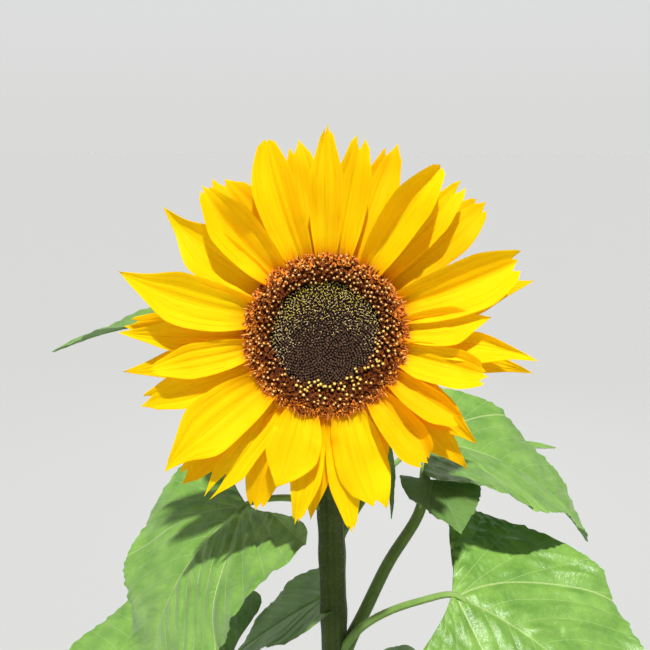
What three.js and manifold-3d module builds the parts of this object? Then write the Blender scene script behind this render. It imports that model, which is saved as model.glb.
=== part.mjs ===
// A sunflower plant rooted in the ground: one open head on a leafy stem, with one side shoot.
// Millimetres, +Z up. The head faces -Y. The origin is the centre of the stem's flat cut at the ground.
import * as THREE from 'three';
import { mergeVertices } from 'three/addons/utils/BufferGeometryUtils.js';
import Module from 'manifold-3d';

const wasm = await Module();
wasm.setup();

// Stem
const HEAD_HEIGHT = 1300; // centre of the head above the ground
const HEAD_TILT = 10; // the head's axis rises by this many degrees
const NECK_BEND = 60; // radius of the bend behind the head
const STEM_SPAN = 1240; // height over which the stem's lean and bow are told
const STEM_LEAN = -17; // sideways drift at the top
const STEM_WAVER = 4;
const STEM_BOW = 9;
const STEM_TOP_RADIUS = 9.4;
const STEM_TAPER = 5.6; // what the radius gains from the top down to the ground
const FLARE = 5; // what the root flare adds at the ground
const FLARE_HEIGHT = 40;
const CUT_DEPTH = 12; // length swept below the ground and cut off flat
const GAP = 0.3; // clearance between neighbouring pieces

// Head
const BACK_DEPTH = 30; // from the head's centre plane to the back of the receptacle
const NECK_RADIUS = 11;
const DISC_RADIUS = 33;
const RING_RADIUS = 47.5;
const RAY_ROOT = RING_RADIUS + GAP;
const FACE_DEPTH = 6; // the receptacle's front face lies this far behind the centre plane
const RING_TOP = 8;
const CAMBER = 0.12; // how far a floret's edges bend back, as a share of its half-width

// Outlines turned round the head's axis: [radius, height along the axis]
const RECEPTACLE_OUTLINE = [
  [0, -BACK_DEPTH], [NECK_RADIUS, -BACK_DEPTH], [NECK_RADIUS + 5, -26], [27, -22], [38, -18],
  [45, -13], [RING_RADIUS, -9.6], [RING_RADIUS, -FACE_DEPTH], [0, -FACE_DEPTH],
];
const DISC_OUTLINE = [
  [0, GAP - FACE_DEPTH], [DISC_RADIUS, GAP - FACE_DEPTH], [DISC_RADIUS, 0.4], [29, 2.2], [20, 2.8],
  [9, 2.4], [0, 2.2],
];
const RING_OUTLINE = [
  [DISC_RADIUS + GAP, GAP - FACE_DEPTH], [RING_RADIUS, GAP - FACE_DEPTH], [RING_RADIUS, 2],
  [46.4, 6], [42.5, RING_TOP], [38, RING_TOP - 1], [34.5, 4], [DISC_RADIUS + GAP, 1],
  [DISC_RADIUS + GAP, GAP - FACE_DEPTH],
];

// Bracts, fused on the receptacle in two rows: the outer row and what the inner row adds to it
const BRACTS = 22;
const BRACT = { root: 38, height: -15.5, reach: 78, width: 17, rise: [-22, -30], thickness: 1.2 };
const INNER_BRACT = { root: -2, height: -1.5, rise: [-8, -14] };
const BRACT_REACH_SPREAD = 6;

// Blades
const LOBE = 0.22; // how far a leaf's base lobes reach back, as a share of its length
const LEAF_SLENDERNESS = 85; // length over thickness
const RAY_SLENDERNESS = 85;
const TIP_SHARE = 0.012; // width left at a blade's tip, as a share of its width
const LEAF_GRID = [4, 13]; // facets across and along a leaf
const RAY_GRID = [2, 7];
const BRACT_GRID = [2, 5];

// Sides and rings of the swept limbs, and facets of what is turned
const STEM_FACETS = [14, 44];
const SHOOT_FACETS = [10, 16];
const STALK_FACETS = [6, 8];
const CUP_FACETS = 36;
const RING_FACETS = 42;

// Ray florets: [clock angle in degrees from the top, reach from the centre, width, tier from the front]
const RAYS = [
  [0, 123, 20, 0], [9.9, 119, 22, 1], [19.8, 123, 24, 2], [32.6, 119, 24, 0], [41, 122, 21, 1],
  [50.5, 127, 29, 2], [69, 126, 32, 1], [75.5, 130, 22, 2], [84.4, 98, 23, 0], [94.7, 127, 18, 1],
  [99.8, 131, 17, 2], [103, 98, 23, 0], [121.6, 95, 19, 0], [125.5, 114, 22, 1],
  [132.5, 124, 23, 2], [140.8, 98, 23, 0], [153, 87, 20, 2], [164, 110, 32, 0], [172, 124, 20, 1],
  [184, 120, 18, 2], [188.3, 119, 19, 1], [197.4, 96, 32, 0], [200.8, 122, 22, 2],
  [216.2, 125, 18, 1], [224.8, 131, 24, 2], [232, 125, 34, 0], [249.8, 120, 24, 1],
  [258.6, 128, 20, 2], [260.9, 107, 21, 0], [270.2, 125, 20, 1], [273.4, 124, 20, 2],
  [287.2, 125, 31, 0], [307.3, 122, 30, 1], [321, 114, 28, 0], [326.8, 116, 31, 2],
  [341.6, 121, 26, 1], [351.6, 119, 24, 2],
];
const RAY_TIERS = [
  { height: -1, rise: [15, 5] },
  { height: -4.2, rise: [8, 0] },
  { height: -7.4, rise: [1, -7] },
];

// Leaves placed one by one. Angles are degrees; azimuth and heading are compass angles from +X towards +Y.
const PLACED_LEAVES = {
  leaf_left_front: {
    host: 'stem', at: 1134, azimuth: [194, 194], stalk: 69, rise: [42, -15],
    heading: 212, pitch: -21, droop: 71, length: 160, width: 158, roll: 1, fold: 3, curl: 8,
  },
  leaf_left_low: {
    host: 'stem', at: 960, azimuth: [192, 186], stalk: 98, rise: [40, 20],
    heading: 180, pitch: 16, droop: 62, length: 176, width: 136, roll: -4, fold: 8, curl: -4,
  },
  leaf_left_shaded: {
    host: 'stem', at: 1042, azimuth: [70, 120], stalk: 30, rise: [16, -30],
    heading: 178, pitch: -31, droop: 14, length: 108, width: 86, roll: 4, fold: 8, curl: 0,
  },
  leaf_right_front: {
    host: 'stem', at: 978, azimuth: [-50, -5], stalk: 151, rise: [82, 14],
    heading: -14, pitch: -16, droop: 38, length: 201, width: 190, roll: 18, fold: -2, curl: -24,
  },
  leaf_left_arching: {
    host: 'stem', at: 1224, azimuth: [150, 176], stalk: 96, rise: [58, 24],
    heading: 176, pitch: 0, droop: 26, length: 148, width: 62, roll: 2, fold: 9, curl: -4,
  },
  leaf_right_narrow: {
    host: 'stem', at: 1096, azimuth: [54, 46], stalk: 124, rise: [40, 8],
    heading: 18, pitch: -6, droop: 4, length: 150, width: 54, roll: 2, fold: 14, curl: 0,
  },
  leaf_small_hanging: {
    host: 'stem', at: 1205, azimuth: [-8, -22], stalk: 45, rise: [24, -40],
    heading: -37, pitch: -75, droop: 14, length: 62, width: 13, roll: 0, fold: 12, curl: 0,
  },
  shoot_leaf_outer: {
    host: 'shoot', at: 0.88, azimuth: [84, 70], stalk: 51.5, rise: [86, 26.5],
    heading: 6, pitch: -9, droop: 52, length: 181, width: 126, roll: 12, fold: 10, curl: -2,
  },
  shoot_leaf_inner: {
    host: 'shoot', at: 0.84, azimuth: [-86, -62], stalk: 46, rise: [69, 50],
    heading: -69, pitch: -16, droop: 25, length: 46, width: 60, roll: -8, fold: 8, curl: 0,
  },
};

// Leaves below those, by one rule: the golden angle round the stem, larger in the middle and limper below
const LOWER_LEAVES = 8;
const LOWER_TOP = 905;
const LOWER_STEP = 96;
const LOWER_AZIMUTH = 262;
const GOLDEN_ANGLE = 137.5;
const LOWER_LENGTH = { top: 205, swell: 35, fall: 45 };
const LOWER_STALK = { top: 104, swell: 14 };
const LOWER_WIDTH = 0.84; // width over length
const LOWER_SPREAD = 8; // degrees by which heading, roll and curl vary from leaf to leaf

// Side shoot, from its root on the stem to its bud
const SHOOT_PATH = [
  [-9, 7, 972], [3, 7, 1012], [13, 8, 1035], [33, 10, 1083], [57, 15, 1126], [62, 17, 1158],
];
const SHOOT_RADII = [5.6, 4];
const SHOOT_BUD = 0.93; // past this share of its length the shoot closes to its bud

const rad = THREE.MathUtils.degToRad;
const lerp = THREE.MathUtils.lerp;
const clamp = THREE.MathUtils.clamp;

const MATERIALS = {
  stem: new THREE.MeshStandardMaterial({ color: 0x6f8a3c, roughness: 0.7, metalness: 0 }),
  leaf: new THREE.MeshStandardMaterial({ color: 0x5f9a3a, roughness: 0.6, metalness: 0 }),
  bract: new THREE.MeshStandardMaterial({ color: 0x6d9140, roughness: 0.7, metalness: 0 }),
  ray: new THREE.MeshStandardMaterial({ color: 0xffc408, roughness: 0.55, metalness: 0 }),
  disc: new THREE.MeshStandardMaterial({ color: 0x3a2418, roughness: 0.8, metalness: 0 }),
  floret: new THREE.MeshStandardMaterial({ color: 0x8a4a1c, roughness: 0.8, metalness: 0 }),
};

const group = new THREE.Group();

function add(name, geometry, material) {
  const mesh = new THREE.Mesh(geometry, material);
  mesh.name = name;
  group.add(mesh);
}

// One closed skin: shared vertices joined, triangles that have shrunk to a line dropped
function skin(geometry) {
  geometry.deleteAttribute('normal');
  geometry.deleteAttribute('uv');
  const merged = mergeVertices(geometry, 1e-4);
  const corners = [];
  for (let i = 0; i < merged.index.count; i += 3) {
    const [a, b, c] = [0, 1, 2].map((k) => merged.index.getX(i + k));
    if (a !== b && b !== c && c !== a) corners.push(a, b, c);
  }
  merged.setIndex(corners);
  return merged;
}

// Moves every vertex of a closed skin to where place() puts it
function mapped(geometry, place) {
  const closed = skin(geometry);
  const position = closed.attributes.position;
  const vertex = new THREE.Vector3();
  for (let i = 0; i < position.count; i += 1) {
    vertex.fromBufferAttribute(position, i);
    position.setXYZ(i, ...place(vertex).toArray());
  }
  closed.computeVertexNormals();
  return closed;
}

function solid(geometry) {
  return new wasm.Manifold(new wasm.Mesh({
    numProp: 3,
    vertProperties: new Float32Array(geometry.attributes.position.array),
    triVerts: new Uint32Array(geometry.index.array),
  }));
}

function surface(manifold) {
  const mesh = manifold.getMesh();
  const geometry = new THREE.BufferGeometry();
  geometry.setAttribute('position', new THREE.BufferAttribute(mesh.vertProperties, 3));
  geometry.setIndex(new THREE.BufferAttribute(mesh.triVerts, 1));
  geometry.computeVertexNormals();
  return geometry;
}

// A tapering limb with round sides, swept along a curve
function limb(curve, radiusAt, sides, rings) {
  const frames = curve.computeFrenetFrames(rings, false);
  return mapped(new THREE.CylinderGeometry(1, 1, 1, sides, rings), (corner) => {
    const share = clamp(corner.y + 0.5, 0, 1);
    const ring = Math.round(share * rings);
    const radius = radiusAt(share);
    return curve.getPointAt(share)
      .addScaledVector(frames.normals[ring], corner.x * radius)
      .addScaledVector(frames.binormals[ring], -corner.z * radius);
  });
}

const headAxis = new THREE.Vector3(0, -Math.cos(rad(HEAD_TILT)), Math.sin(rad(HEAD_TILT)));
const headRight = new THREE.Vector3(1, 0, 0);
const headUp = new THREE.Vector3().crossVectors(headAxis, headRight);
const neckTurn = rad(90 - HEAD_TILT);
const neckFoot = HEAD_HEIGHT - NECK_BEND * Math.sin(neckTurn) - BACK_DEPTH * headAxis.z;

function stemPoint(height) {
  const share = height / STEM_SPAN;
  const waver = STEM_WAVER * Math.sin(2 * Math.PI * share) * (1 - share);
  return new THREE.Vector3(STEM_LEAN * share ** 3 + waver, STEM_BOW * Math.sin(Math.PI * share), height);
}

// The stem's centre line: up from under the ground, then round the neck to the back of the head
class StemLine extends THREE.Curve {
  getPoint(share) {
    const neckLength = NECK_BEND * neckTurn - GAP;
    const travel = share * (CUT_DEPTH + neckFoot + neckLength) - CUT_DEPTH;
    if (travel <= neckFoot) return stemPoint(travel);
    const turn = (travel - neckFoot) / NECK_BEND;
    const foot = stemPoint(neckFoot);
    return new THREE.Vector3(
      foot.x,
      foot.y - NECK_BEND * (1 - Math.cos(turn)),
      foot.z + NECK_BEND * Math.sin(turn),
    );
  }
}

function stemRadius(height) {
  const taper = STEM_TAPER * (1 - height / STEM_SPAN);
  return STEM_TOP_RADIUS + taper + FLARE * Math.exp(-height / FLARE_HEIGHT);
}

function stemSolid(extra) {
  const line = new StemLine();
  const length = line.getLength();
  const radiusAt = (share) => {
    const travel = share * length - CUT_DEPTH;
    const neck = clamp((travel - neckFoot) / (length - CUT_DEPTH - neckFoot), 0, 1);
    return lerp(stemRadius(Math.min(travel, neckFoot)), NECK_RADIUS, neck) + extra;
  };
  const whole = solid(limb(line, radiusAt, ...STEM_FACETS));
  const ground = 8 * CUT_DEPTH;
  const below = new THREE.BoxGeometry(ground, ground, ground).translate(0, 0, -ground / 2);
  return whole.subtract(solid(skin(below)));
}

function shootSolid(extra) {
  const line = new THREE.CatmullRomCurve3(SHOOT_PATH.map((point) => new THREE.Vector3(...point)));
  const radiusAt = (share) => {
    const radius = lerp(...SHOOT_RADII, share);
    const closing = Math.max((share - SHOOT_BUD) / (1 - SHOOT_BUD), 0);
    return radius * Math.sqrt(1 - 0.85 * closing ** 2) + extra;
  };
  return { line, solid: solid(limb(line, radiusAt, ...SHOOT_FACETS)) };
}

const headCentre = new StemLine().getPoint(1).addScaledVector(headAxis, BACK_DEPTH + GAP);

// A point of the head: clock angle from the top as seen from the front, radius, and height along the axis
function headPoint(clock, radius, height) {
  return headCentre.clone()
    .addScaledVector(headRight, Math.sin(clock) * radius)
    .addScaledVector(headUp, Math.cos(clock) * radius)
    .addScaledVector(headAxis, height);
}

// Turns a shape made round +Y into the head's place
function toHead(geometry) {
  const back = headUp.clone().negate();
  const frame = new THREE.Matrix4().makeBasis(headRight, headAxis, back);
  frame.setPosition(headCentre);
  return geometry.applyMatrix4(frame);
}

function turned(outline, segments) {
  const points = outline.map(([radius, height]) => new THREE.Vector2(radius, height));
  return toHead(skin(new THREE.LatheGeometry(points, segments)));
}

// Half-width of a ray floret or a bract as a share of its widest, from root (0) to tip (1)
function rayProfile(share) {
  const widest = 0.55;
  if (share < widest) return 0.56 + 0.44 * Math.sin((Math.PI / 2) * (share / widest));
  const rest = (share - widest) / (1 - widest);
  return Math.max((1 - rest ** 1.5) ** 1.1, TIP_SHARE);
}

// A thin blade that starts on the head at one clock angle and grows outwards
function headBlade(shape, across, along) {
  const { clock, root, height, reach, width, rise, thickness } = shape;
  const angle = rad(clock);
  const side = new THREE.Vector3()
    .addScaledVector(headRight, Math.cos(angle))
    .addScaledVector(headUp, -Math.sin(angle));
  const length = (reach - root) / Math.cos(rad((rise[0] + rise[1]) / 2));
  return mapped(new THREE.BoxGeometry(2, 1, 1, across, along, 1), (corner) => {
    const share = clamp(corner.y + 0.5, 0, 1);
    const half = (width / 2) * rayProfile(share);
    const climb = rad(rise[0] + (rise[1] - rise[0]) * share * 0.5);
    const lift = height + length * share * Math.sin(climb) - CAMBER * half * corner.x ** 2;
    return headPoint(angle, root + length * share * Math.cos(climb), lift)
      .addScaledVector(side, half * corner.x)
      .addScaledVector(headAxis, thickness * corner.z);
  });
}

function bract(index) {
  const inner = index % 2;
  const clock = (index * 360) / BRACTS;
  return {
    clock,
    root: BRACT.root + inner * INNER_BRACT.root,
    height: BRACT.height + inner * INNER_BRACT.height,
    reach: BRACT.reach + BRACT_REACH_SPREAD * Math.sin(2.4 * index),
    width: BRACT.width,
    rise: BRACT.rise.map((angle, end) => angle + inner * INNER_BRACT.rise[end]),
    thickness: BRACT.thickness,
  };
}

function receptacle() {
  let whole = solid(turned(RECEPTACLE_OUTLINE, CUP_FACETS));
  for (let i = 0; i < BRACTS; i += 1) whole = whole.add(solid(headBlade(bract(i), ...BRACT_GRID)));
  return surface(whole);
}

// Outline of a leaf: half-width share and place along the midrib, from the notch (0) to the tip (1)
function leafHalfWidth(share) {
  const swell = Math.sin(Math.PI * share ** 0.66) ** 0.85;
  return Math.max((swell * (1 - 0.28 * share ** 3)) / 0.93, TIP_SHARE * 2);
}

function leafSetback(share) {
  return LOBE * Math.sin(Math.PI * Math.min(share / 0.42, 1));
}

// Directions of a blade at one heading and pitch: along, across and out of its upper face
function bladeFrame(heading, pitch, roll) {
  const along = new THREE.Vector3(
    Math.cos(pitch) * Math.cos(heading),
    Math.cos(pitch) * Math.sin(heading),
    Math.sin(pitch),
  );
  const level = new THREE.Vector3(-Math.sin(heading), Math.cos(heading), 0);
  const up = new THREE.Vector3().crossVectors(along, level);
  return {
    along,
    across: level.clone().multiplyScalar(Math.cos(roll)).addScaledVector(up, Math.sin(roll)),
    out: up.multiplyScalar(Math.cos(roll)).addScaledVector(level, -Math.sin(roll)),
  };
}

// Points of a stalk whose compass angle and slope change evenly from its root to the blade
function arcPoints(start, azimuth, rise, length, steps) {
  const points = [start.clone()];
  for (let i = 0; i < steps; i += 1) {
    const share = (i + 0.5) / steps;
    const { along } = bladeFrame(rad(lerp(...azimuth, share)), rad(lerp(...rise, share)), 0);
    points.push(points[i].clone().addScaledVector(along, length / steps));
  }
  return points;
}

// The midrib: place and directions at any share of the leaf's length; behind its root it runs straight
function midrib(root, leaf) {
  const steps = 40;
  const heading = (share) => rad(leaf.heading + leaf.curl * share);
  const pitch = (share) => rad(leaf.pitch - leaf.droop * share);
  const frameAt = (share) => bladeFrame(heading(share), pitch(share), rad(leaf.roll));
  const points = [root.clone()];
  for (let i = 0; i < steps; i += 1) {
    const { along } = frameAt((i + 0.5) / steps);
    points.push(points[i].clone().addScaledVector(along, leaf.length / steps));
  }
  return (share) => {
    const place = clamp(share, 0, 1) * steps;
    const step = Math.min(Math.floor(place), steps - 1);
    const frame = frameAt(clamp(share, 0, 1));
    const point = points[step].clone().lerp(points[step + 1], place - step);
    return { ...frame, point: point.addScaledVector(frame.along, Math.min(share, 0) * leaf.length) };
  };
}

function leafBlade(root, leaf) {
  const rib = midrib(root, leaf);
  const thickness = leaf.length / LEAF_SLENDERNESS;
  return mapped(new THREE.BoxGeometry(2, 1, 1, ...LEAF_GRID, 1), (corner) => {
    const share = clamp(corner.y + 0.5, 0, 1);
    const out = Math.abs(corner.x);
    const half = out * (leaf.width / 2) * leafHalfWidth(share);
    const { point, across, out: face } = rib(share ** 1.18 - out * leafSetback(share));
    return point
      .addScaledVector(across, -Math.sign(corner.x) * half * Math.cos(rad(leaf.fold)))
      .addScaledVector(face, half * Math.sin(rad(leaf.fold)) + thickness * corner.z);
  });
}

function leafSolid(start, leaf, sleeve) {
  const stalkPoints = arcPoints(start, leaf.azimuth, leaf.rise, leaf.stalk, 6);
  const root = stalkPoints.at(-1);
  const overlap = 0.05 * leaf.length; // the stalk runs on under the blade as its midrib
  const rib = midrib(root, leaf);
  const curve = new THREE.CatmullRomCurve3([...stalkPoints, rib(overlap / leaf.length).point]);
  const thick = 0.5 + 0.0165 * leaf.length;
  const stalk = limb(curve, (share) => lerp(thick, thick * 0.66, share), ...STALK_FACETS);
  return solid(leafBlade(root, leaf)).add(solid(stalk)).subtract(sleeve);
}

function lowerLeaf(index) {
  const share = index / (LOWER_LEAVES - 1);
  const swell = Math.sin(Math.PI * share);
  const azimuth = LOWER_AZIMUTH + GOLDEN_ANGLE * index;
  const length = LOWER_LENGTH.top + LOWER_LENGTH.swell * swell - LOWER_LENGTH.fall * share;
  return {
    at: LOWER_TOP - LOWER_STEP * index,
    azimuth: [azimuth, azimuth],
    stalk: LOWER_STALK.top + LOWER_STALK.swell * swell,
    rise: [44, lerp(10, -4, share)],
    heading: azimuth + LOWER_SPREAD * Math.sin(2.1 * index),
    pitch: lerp(-12, -24, share),
    droop: lerp(34, 40, share),
    length,
    width: length * LOWER_WIDTH,
    roll: LOWER_SPREAD * Math.sin(1.7 * index),
    fold: 8,
    curl: LOWER_SPREAD * Math.cos(1.3 * index),
  };
}

function twoDigits(number) {
  return String(number).padStart(2, '0');
}

function buildStems() {
  add('main_stem', surface(stemSolid(0)), MATERIALS.stem);
  add('side_shoot', surface(shootSolid(0).solid.subtract(stemSolid(GAP))), MATERIALS.stem);
}

function buildLeaves() {
  const stemSleeve = stemSolid(GAP);
  const shootSleeve = shootSolid(GAP);
  for (const [name, leaf] of Object.entries(PLACED_LEAVES)) {
    const onStem = leaf.host === 'stem';
    const start = onStem ? stemPoint(leaf.at) : shootSleeve.line.getPointAt(leaf.at);
    const sleeve = onStem ? stemSleeve : shootSleeve.solid;
    add(name, surface(leafSolid(start, leaf, sleeve)), MATERIALS.leaf);
  }
  for (let i = 0; i < LOWER_LEAVES; i += 1) {
    const leaf = lowerLeaf(i);
    const name = `leaf_lower_${twoDigits(i + 1)}`;
    add(name, surface(leafSolid(stemPoint(leaf.at), leaf, stemSleeve)), MATERIALS.leaf);
  }
}

function buildHead() {
  add('receptacle', receptacle(), MATERIALS.bract);
  add('flower_disc', turned(DISC_OUTLINE, CUP_FACETS), MATERIALS.disc);
  add('floret_ring', turned(RING_OUTLINE, RING_FACETS), MATERIALS.floret);
  RAYS.forEach(([clock, reach, width, tier], index) => {
    const { height, rise } = RAY_TIERS[tier];
    const thickness = (reach - RAY_ROOT) / RAY_SLENDERNESS;
    const shape = { clock, root: RAY_ROOT, height, reach, width, rise, thickness };
    add(`ray_floret_${twoDigits(index + 1)}`, headBlade(shape, ...RAY_GRID), MATERIALS.ray);
  });
}

buildStems();
buildHead();
buildLeaves();

export default group;
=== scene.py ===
"""Looks of a sunflower plant: one open head on a leafy stem with a side shoot.

Shapes are worked out in millimetres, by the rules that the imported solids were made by, and turned
into metres when a piece is finished. The head faces -Y and +Z is up.
"""

import logging
import math
from collections.abc import Callable, Sequence
from dataclasses import dataclass, field
from enum import Enum
from typing import Any

import bmesh
import bpy
import numpy as np
from mathutils import Matrix, Vector, noise


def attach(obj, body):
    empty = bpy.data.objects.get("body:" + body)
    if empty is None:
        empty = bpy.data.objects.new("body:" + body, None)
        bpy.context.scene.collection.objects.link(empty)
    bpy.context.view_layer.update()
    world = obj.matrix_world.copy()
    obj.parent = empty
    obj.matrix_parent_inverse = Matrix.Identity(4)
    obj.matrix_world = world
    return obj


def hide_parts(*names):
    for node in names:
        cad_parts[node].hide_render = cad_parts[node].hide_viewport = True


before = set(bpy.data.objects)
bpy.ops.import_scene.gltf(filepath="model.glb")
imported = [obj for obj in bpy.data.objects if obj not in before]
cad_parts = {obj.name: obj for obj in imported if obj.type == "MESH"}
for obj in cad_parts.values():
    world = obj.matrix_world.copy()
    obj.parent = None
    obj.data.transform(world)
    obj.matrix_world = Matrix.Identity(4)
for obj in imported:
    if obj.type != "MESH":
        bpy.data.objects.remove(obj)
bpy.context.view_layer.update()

LOG = logging.getLogger("sunflower")
MM = 0.001
BODY = "root"
GROWN_MAP = "Grown"  # the UV map that follows a blade or a limb
GOLDEN_ANGLE = 137.50776
ALL_ROUND = 6.3  # radians, a little over a full turn
SEED = 7
WELD = 0.002  # millimetres within which corners are joined

Points = np.ndarray  # rows of x, y and z, or one such row
Numbers = np.ndarray
Paint = tuple[float, float, float, float]
Shape = bmesh.types.BMesh
Socket = bpy.types.NodeSocket
UP = np.array([0.0, 0.0, 1.0])


def paint(red: int, green: int, blue: int) -> Paint:
    """Turns a screen colour into the linear colour that a shader takes.

    Args:
        red: Red from 0 to 255.
        green: Green from 0 to 255.
        blue: Blue from 0 to 255.

    Returns:
        Linear red, green and blue, and an alpha of 1.
    """
    shares = [level / 255 for level in (red, green, blue)]
    lit = [s / 12.92 if s <= 0.04045 else ((s + 0.055) / 1.055) ** 2.4 for s in shares]
    return (lit[0], lit[1], lit[2], 1.0)


def unit(vectors: Points) -> Points:
    """The same directions with a length of 1."""
    return vectors / np.linalg.norm(vectors, axis=-1, keepdims=True)


def between(start: Any, end: Any, share: Any) -> Any:
    """The value at a share of the way from start to end."""
    return start + (end - start) * share


def eased(low: float, high: float, value: Numbers) -> Numbers:
    """Rises smoothly from 0 at low to 1 at high."""
    share = np.clip((value - low) / (high - low), 0, 1)
    return share * share * (3 - 2 * share)


def mound(value: Numbers, width: float) -> Numbers:
    """A smooth mound of height 1 over value 0."""
    return np.exp(-((value / width) ** 2))


def swings(draw: np.random.Generator, size: Any) -> Numbers:
    """Random numbers from -1 to 1."""
    return draw.uniform(-1, 1, size)


def any_turns(draw: np.random.Generator, count: int) -> Numbers:
    """Random angles all the way round."""
    return draw.uniform(0, ALL_ROUND, count)


def at_places(rows: Points, place: Numbers) -> Points:
    """Reads rows at fractional row numbers."""
    index = np.arange(len(rows))
    return np.stack([np.interp(place, index, column) for column in rows.T], axis=-1)


def blade_frame(heading: Numbers, pitch: Numbers, roll: float) -> tuple[Points, Points, Points]:
    """Works out the directions of a blade.

    Args:
        heading: Compass angles from +X towards +Y, in radians.
        pitch: Slopes above the horizon, in radians.
        roll: Turn about the blade's own line, in radians.

    Returns:
        Rows of directions along the blade, across it and out of its upper face.
    """
    heading, pitch = np.broadcast_arrays(np.atleast_1d(heading), np.atleast_1d(pitch))
    flat = np.cos(pitch)
    along = np.stack([flat * np.cos(heading), flat * np.sin(heading), np.sin(pitch)], axis=-1)
    level = np.stack([-np.sin(heading), np.cos(heading), np.zeros_like(heading)], axis=-1)
    up = np.cross(along, level)
    across = level * math.cos(roll) + up * math.sin(roll)
    return along, across, up * math.cos(roll) - level * math.sin(roll)


# Shader maths


class Value:
    """A number that varies over a surface. Each operator adds one Math node."""

    def __init__(self, shader: "Shader", socket: Socket) -> None:
        """Wraps a socket of the shader's tree."""
        self.shader = shader
        self.socket = socket

    def __add__(self, other: Any) -> "Value":
        """The sum."""
        return self.shader.maths("ADD", self, other)

    __radd__ = __add__

    def __sub__(self, other: Any) -> "Value":
        """The difference."""
        return self.shader.maths("SUBTRACT", self, other)

    def __rsub__(self, other: Any) -> "Value":
        """The difference, from the other."""
        return self.shader.maths("SUBTRACT", other, self)

    def __mul__(self, other: Any) -> "Value":
        """The product."""
        return self.shader.maths("MULTIPLY", self, other)

    __rmul__ = __mul__

    def __truediv__(self, other: Any) -> "Value":
        """The quotient."""
        return self.shader.maths("DIVIDE", self, other)

    def __pow__(self, other: Any) -> "Value":
        """The power."""
        return self.shader.maths("POWER", self, other)


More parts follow.
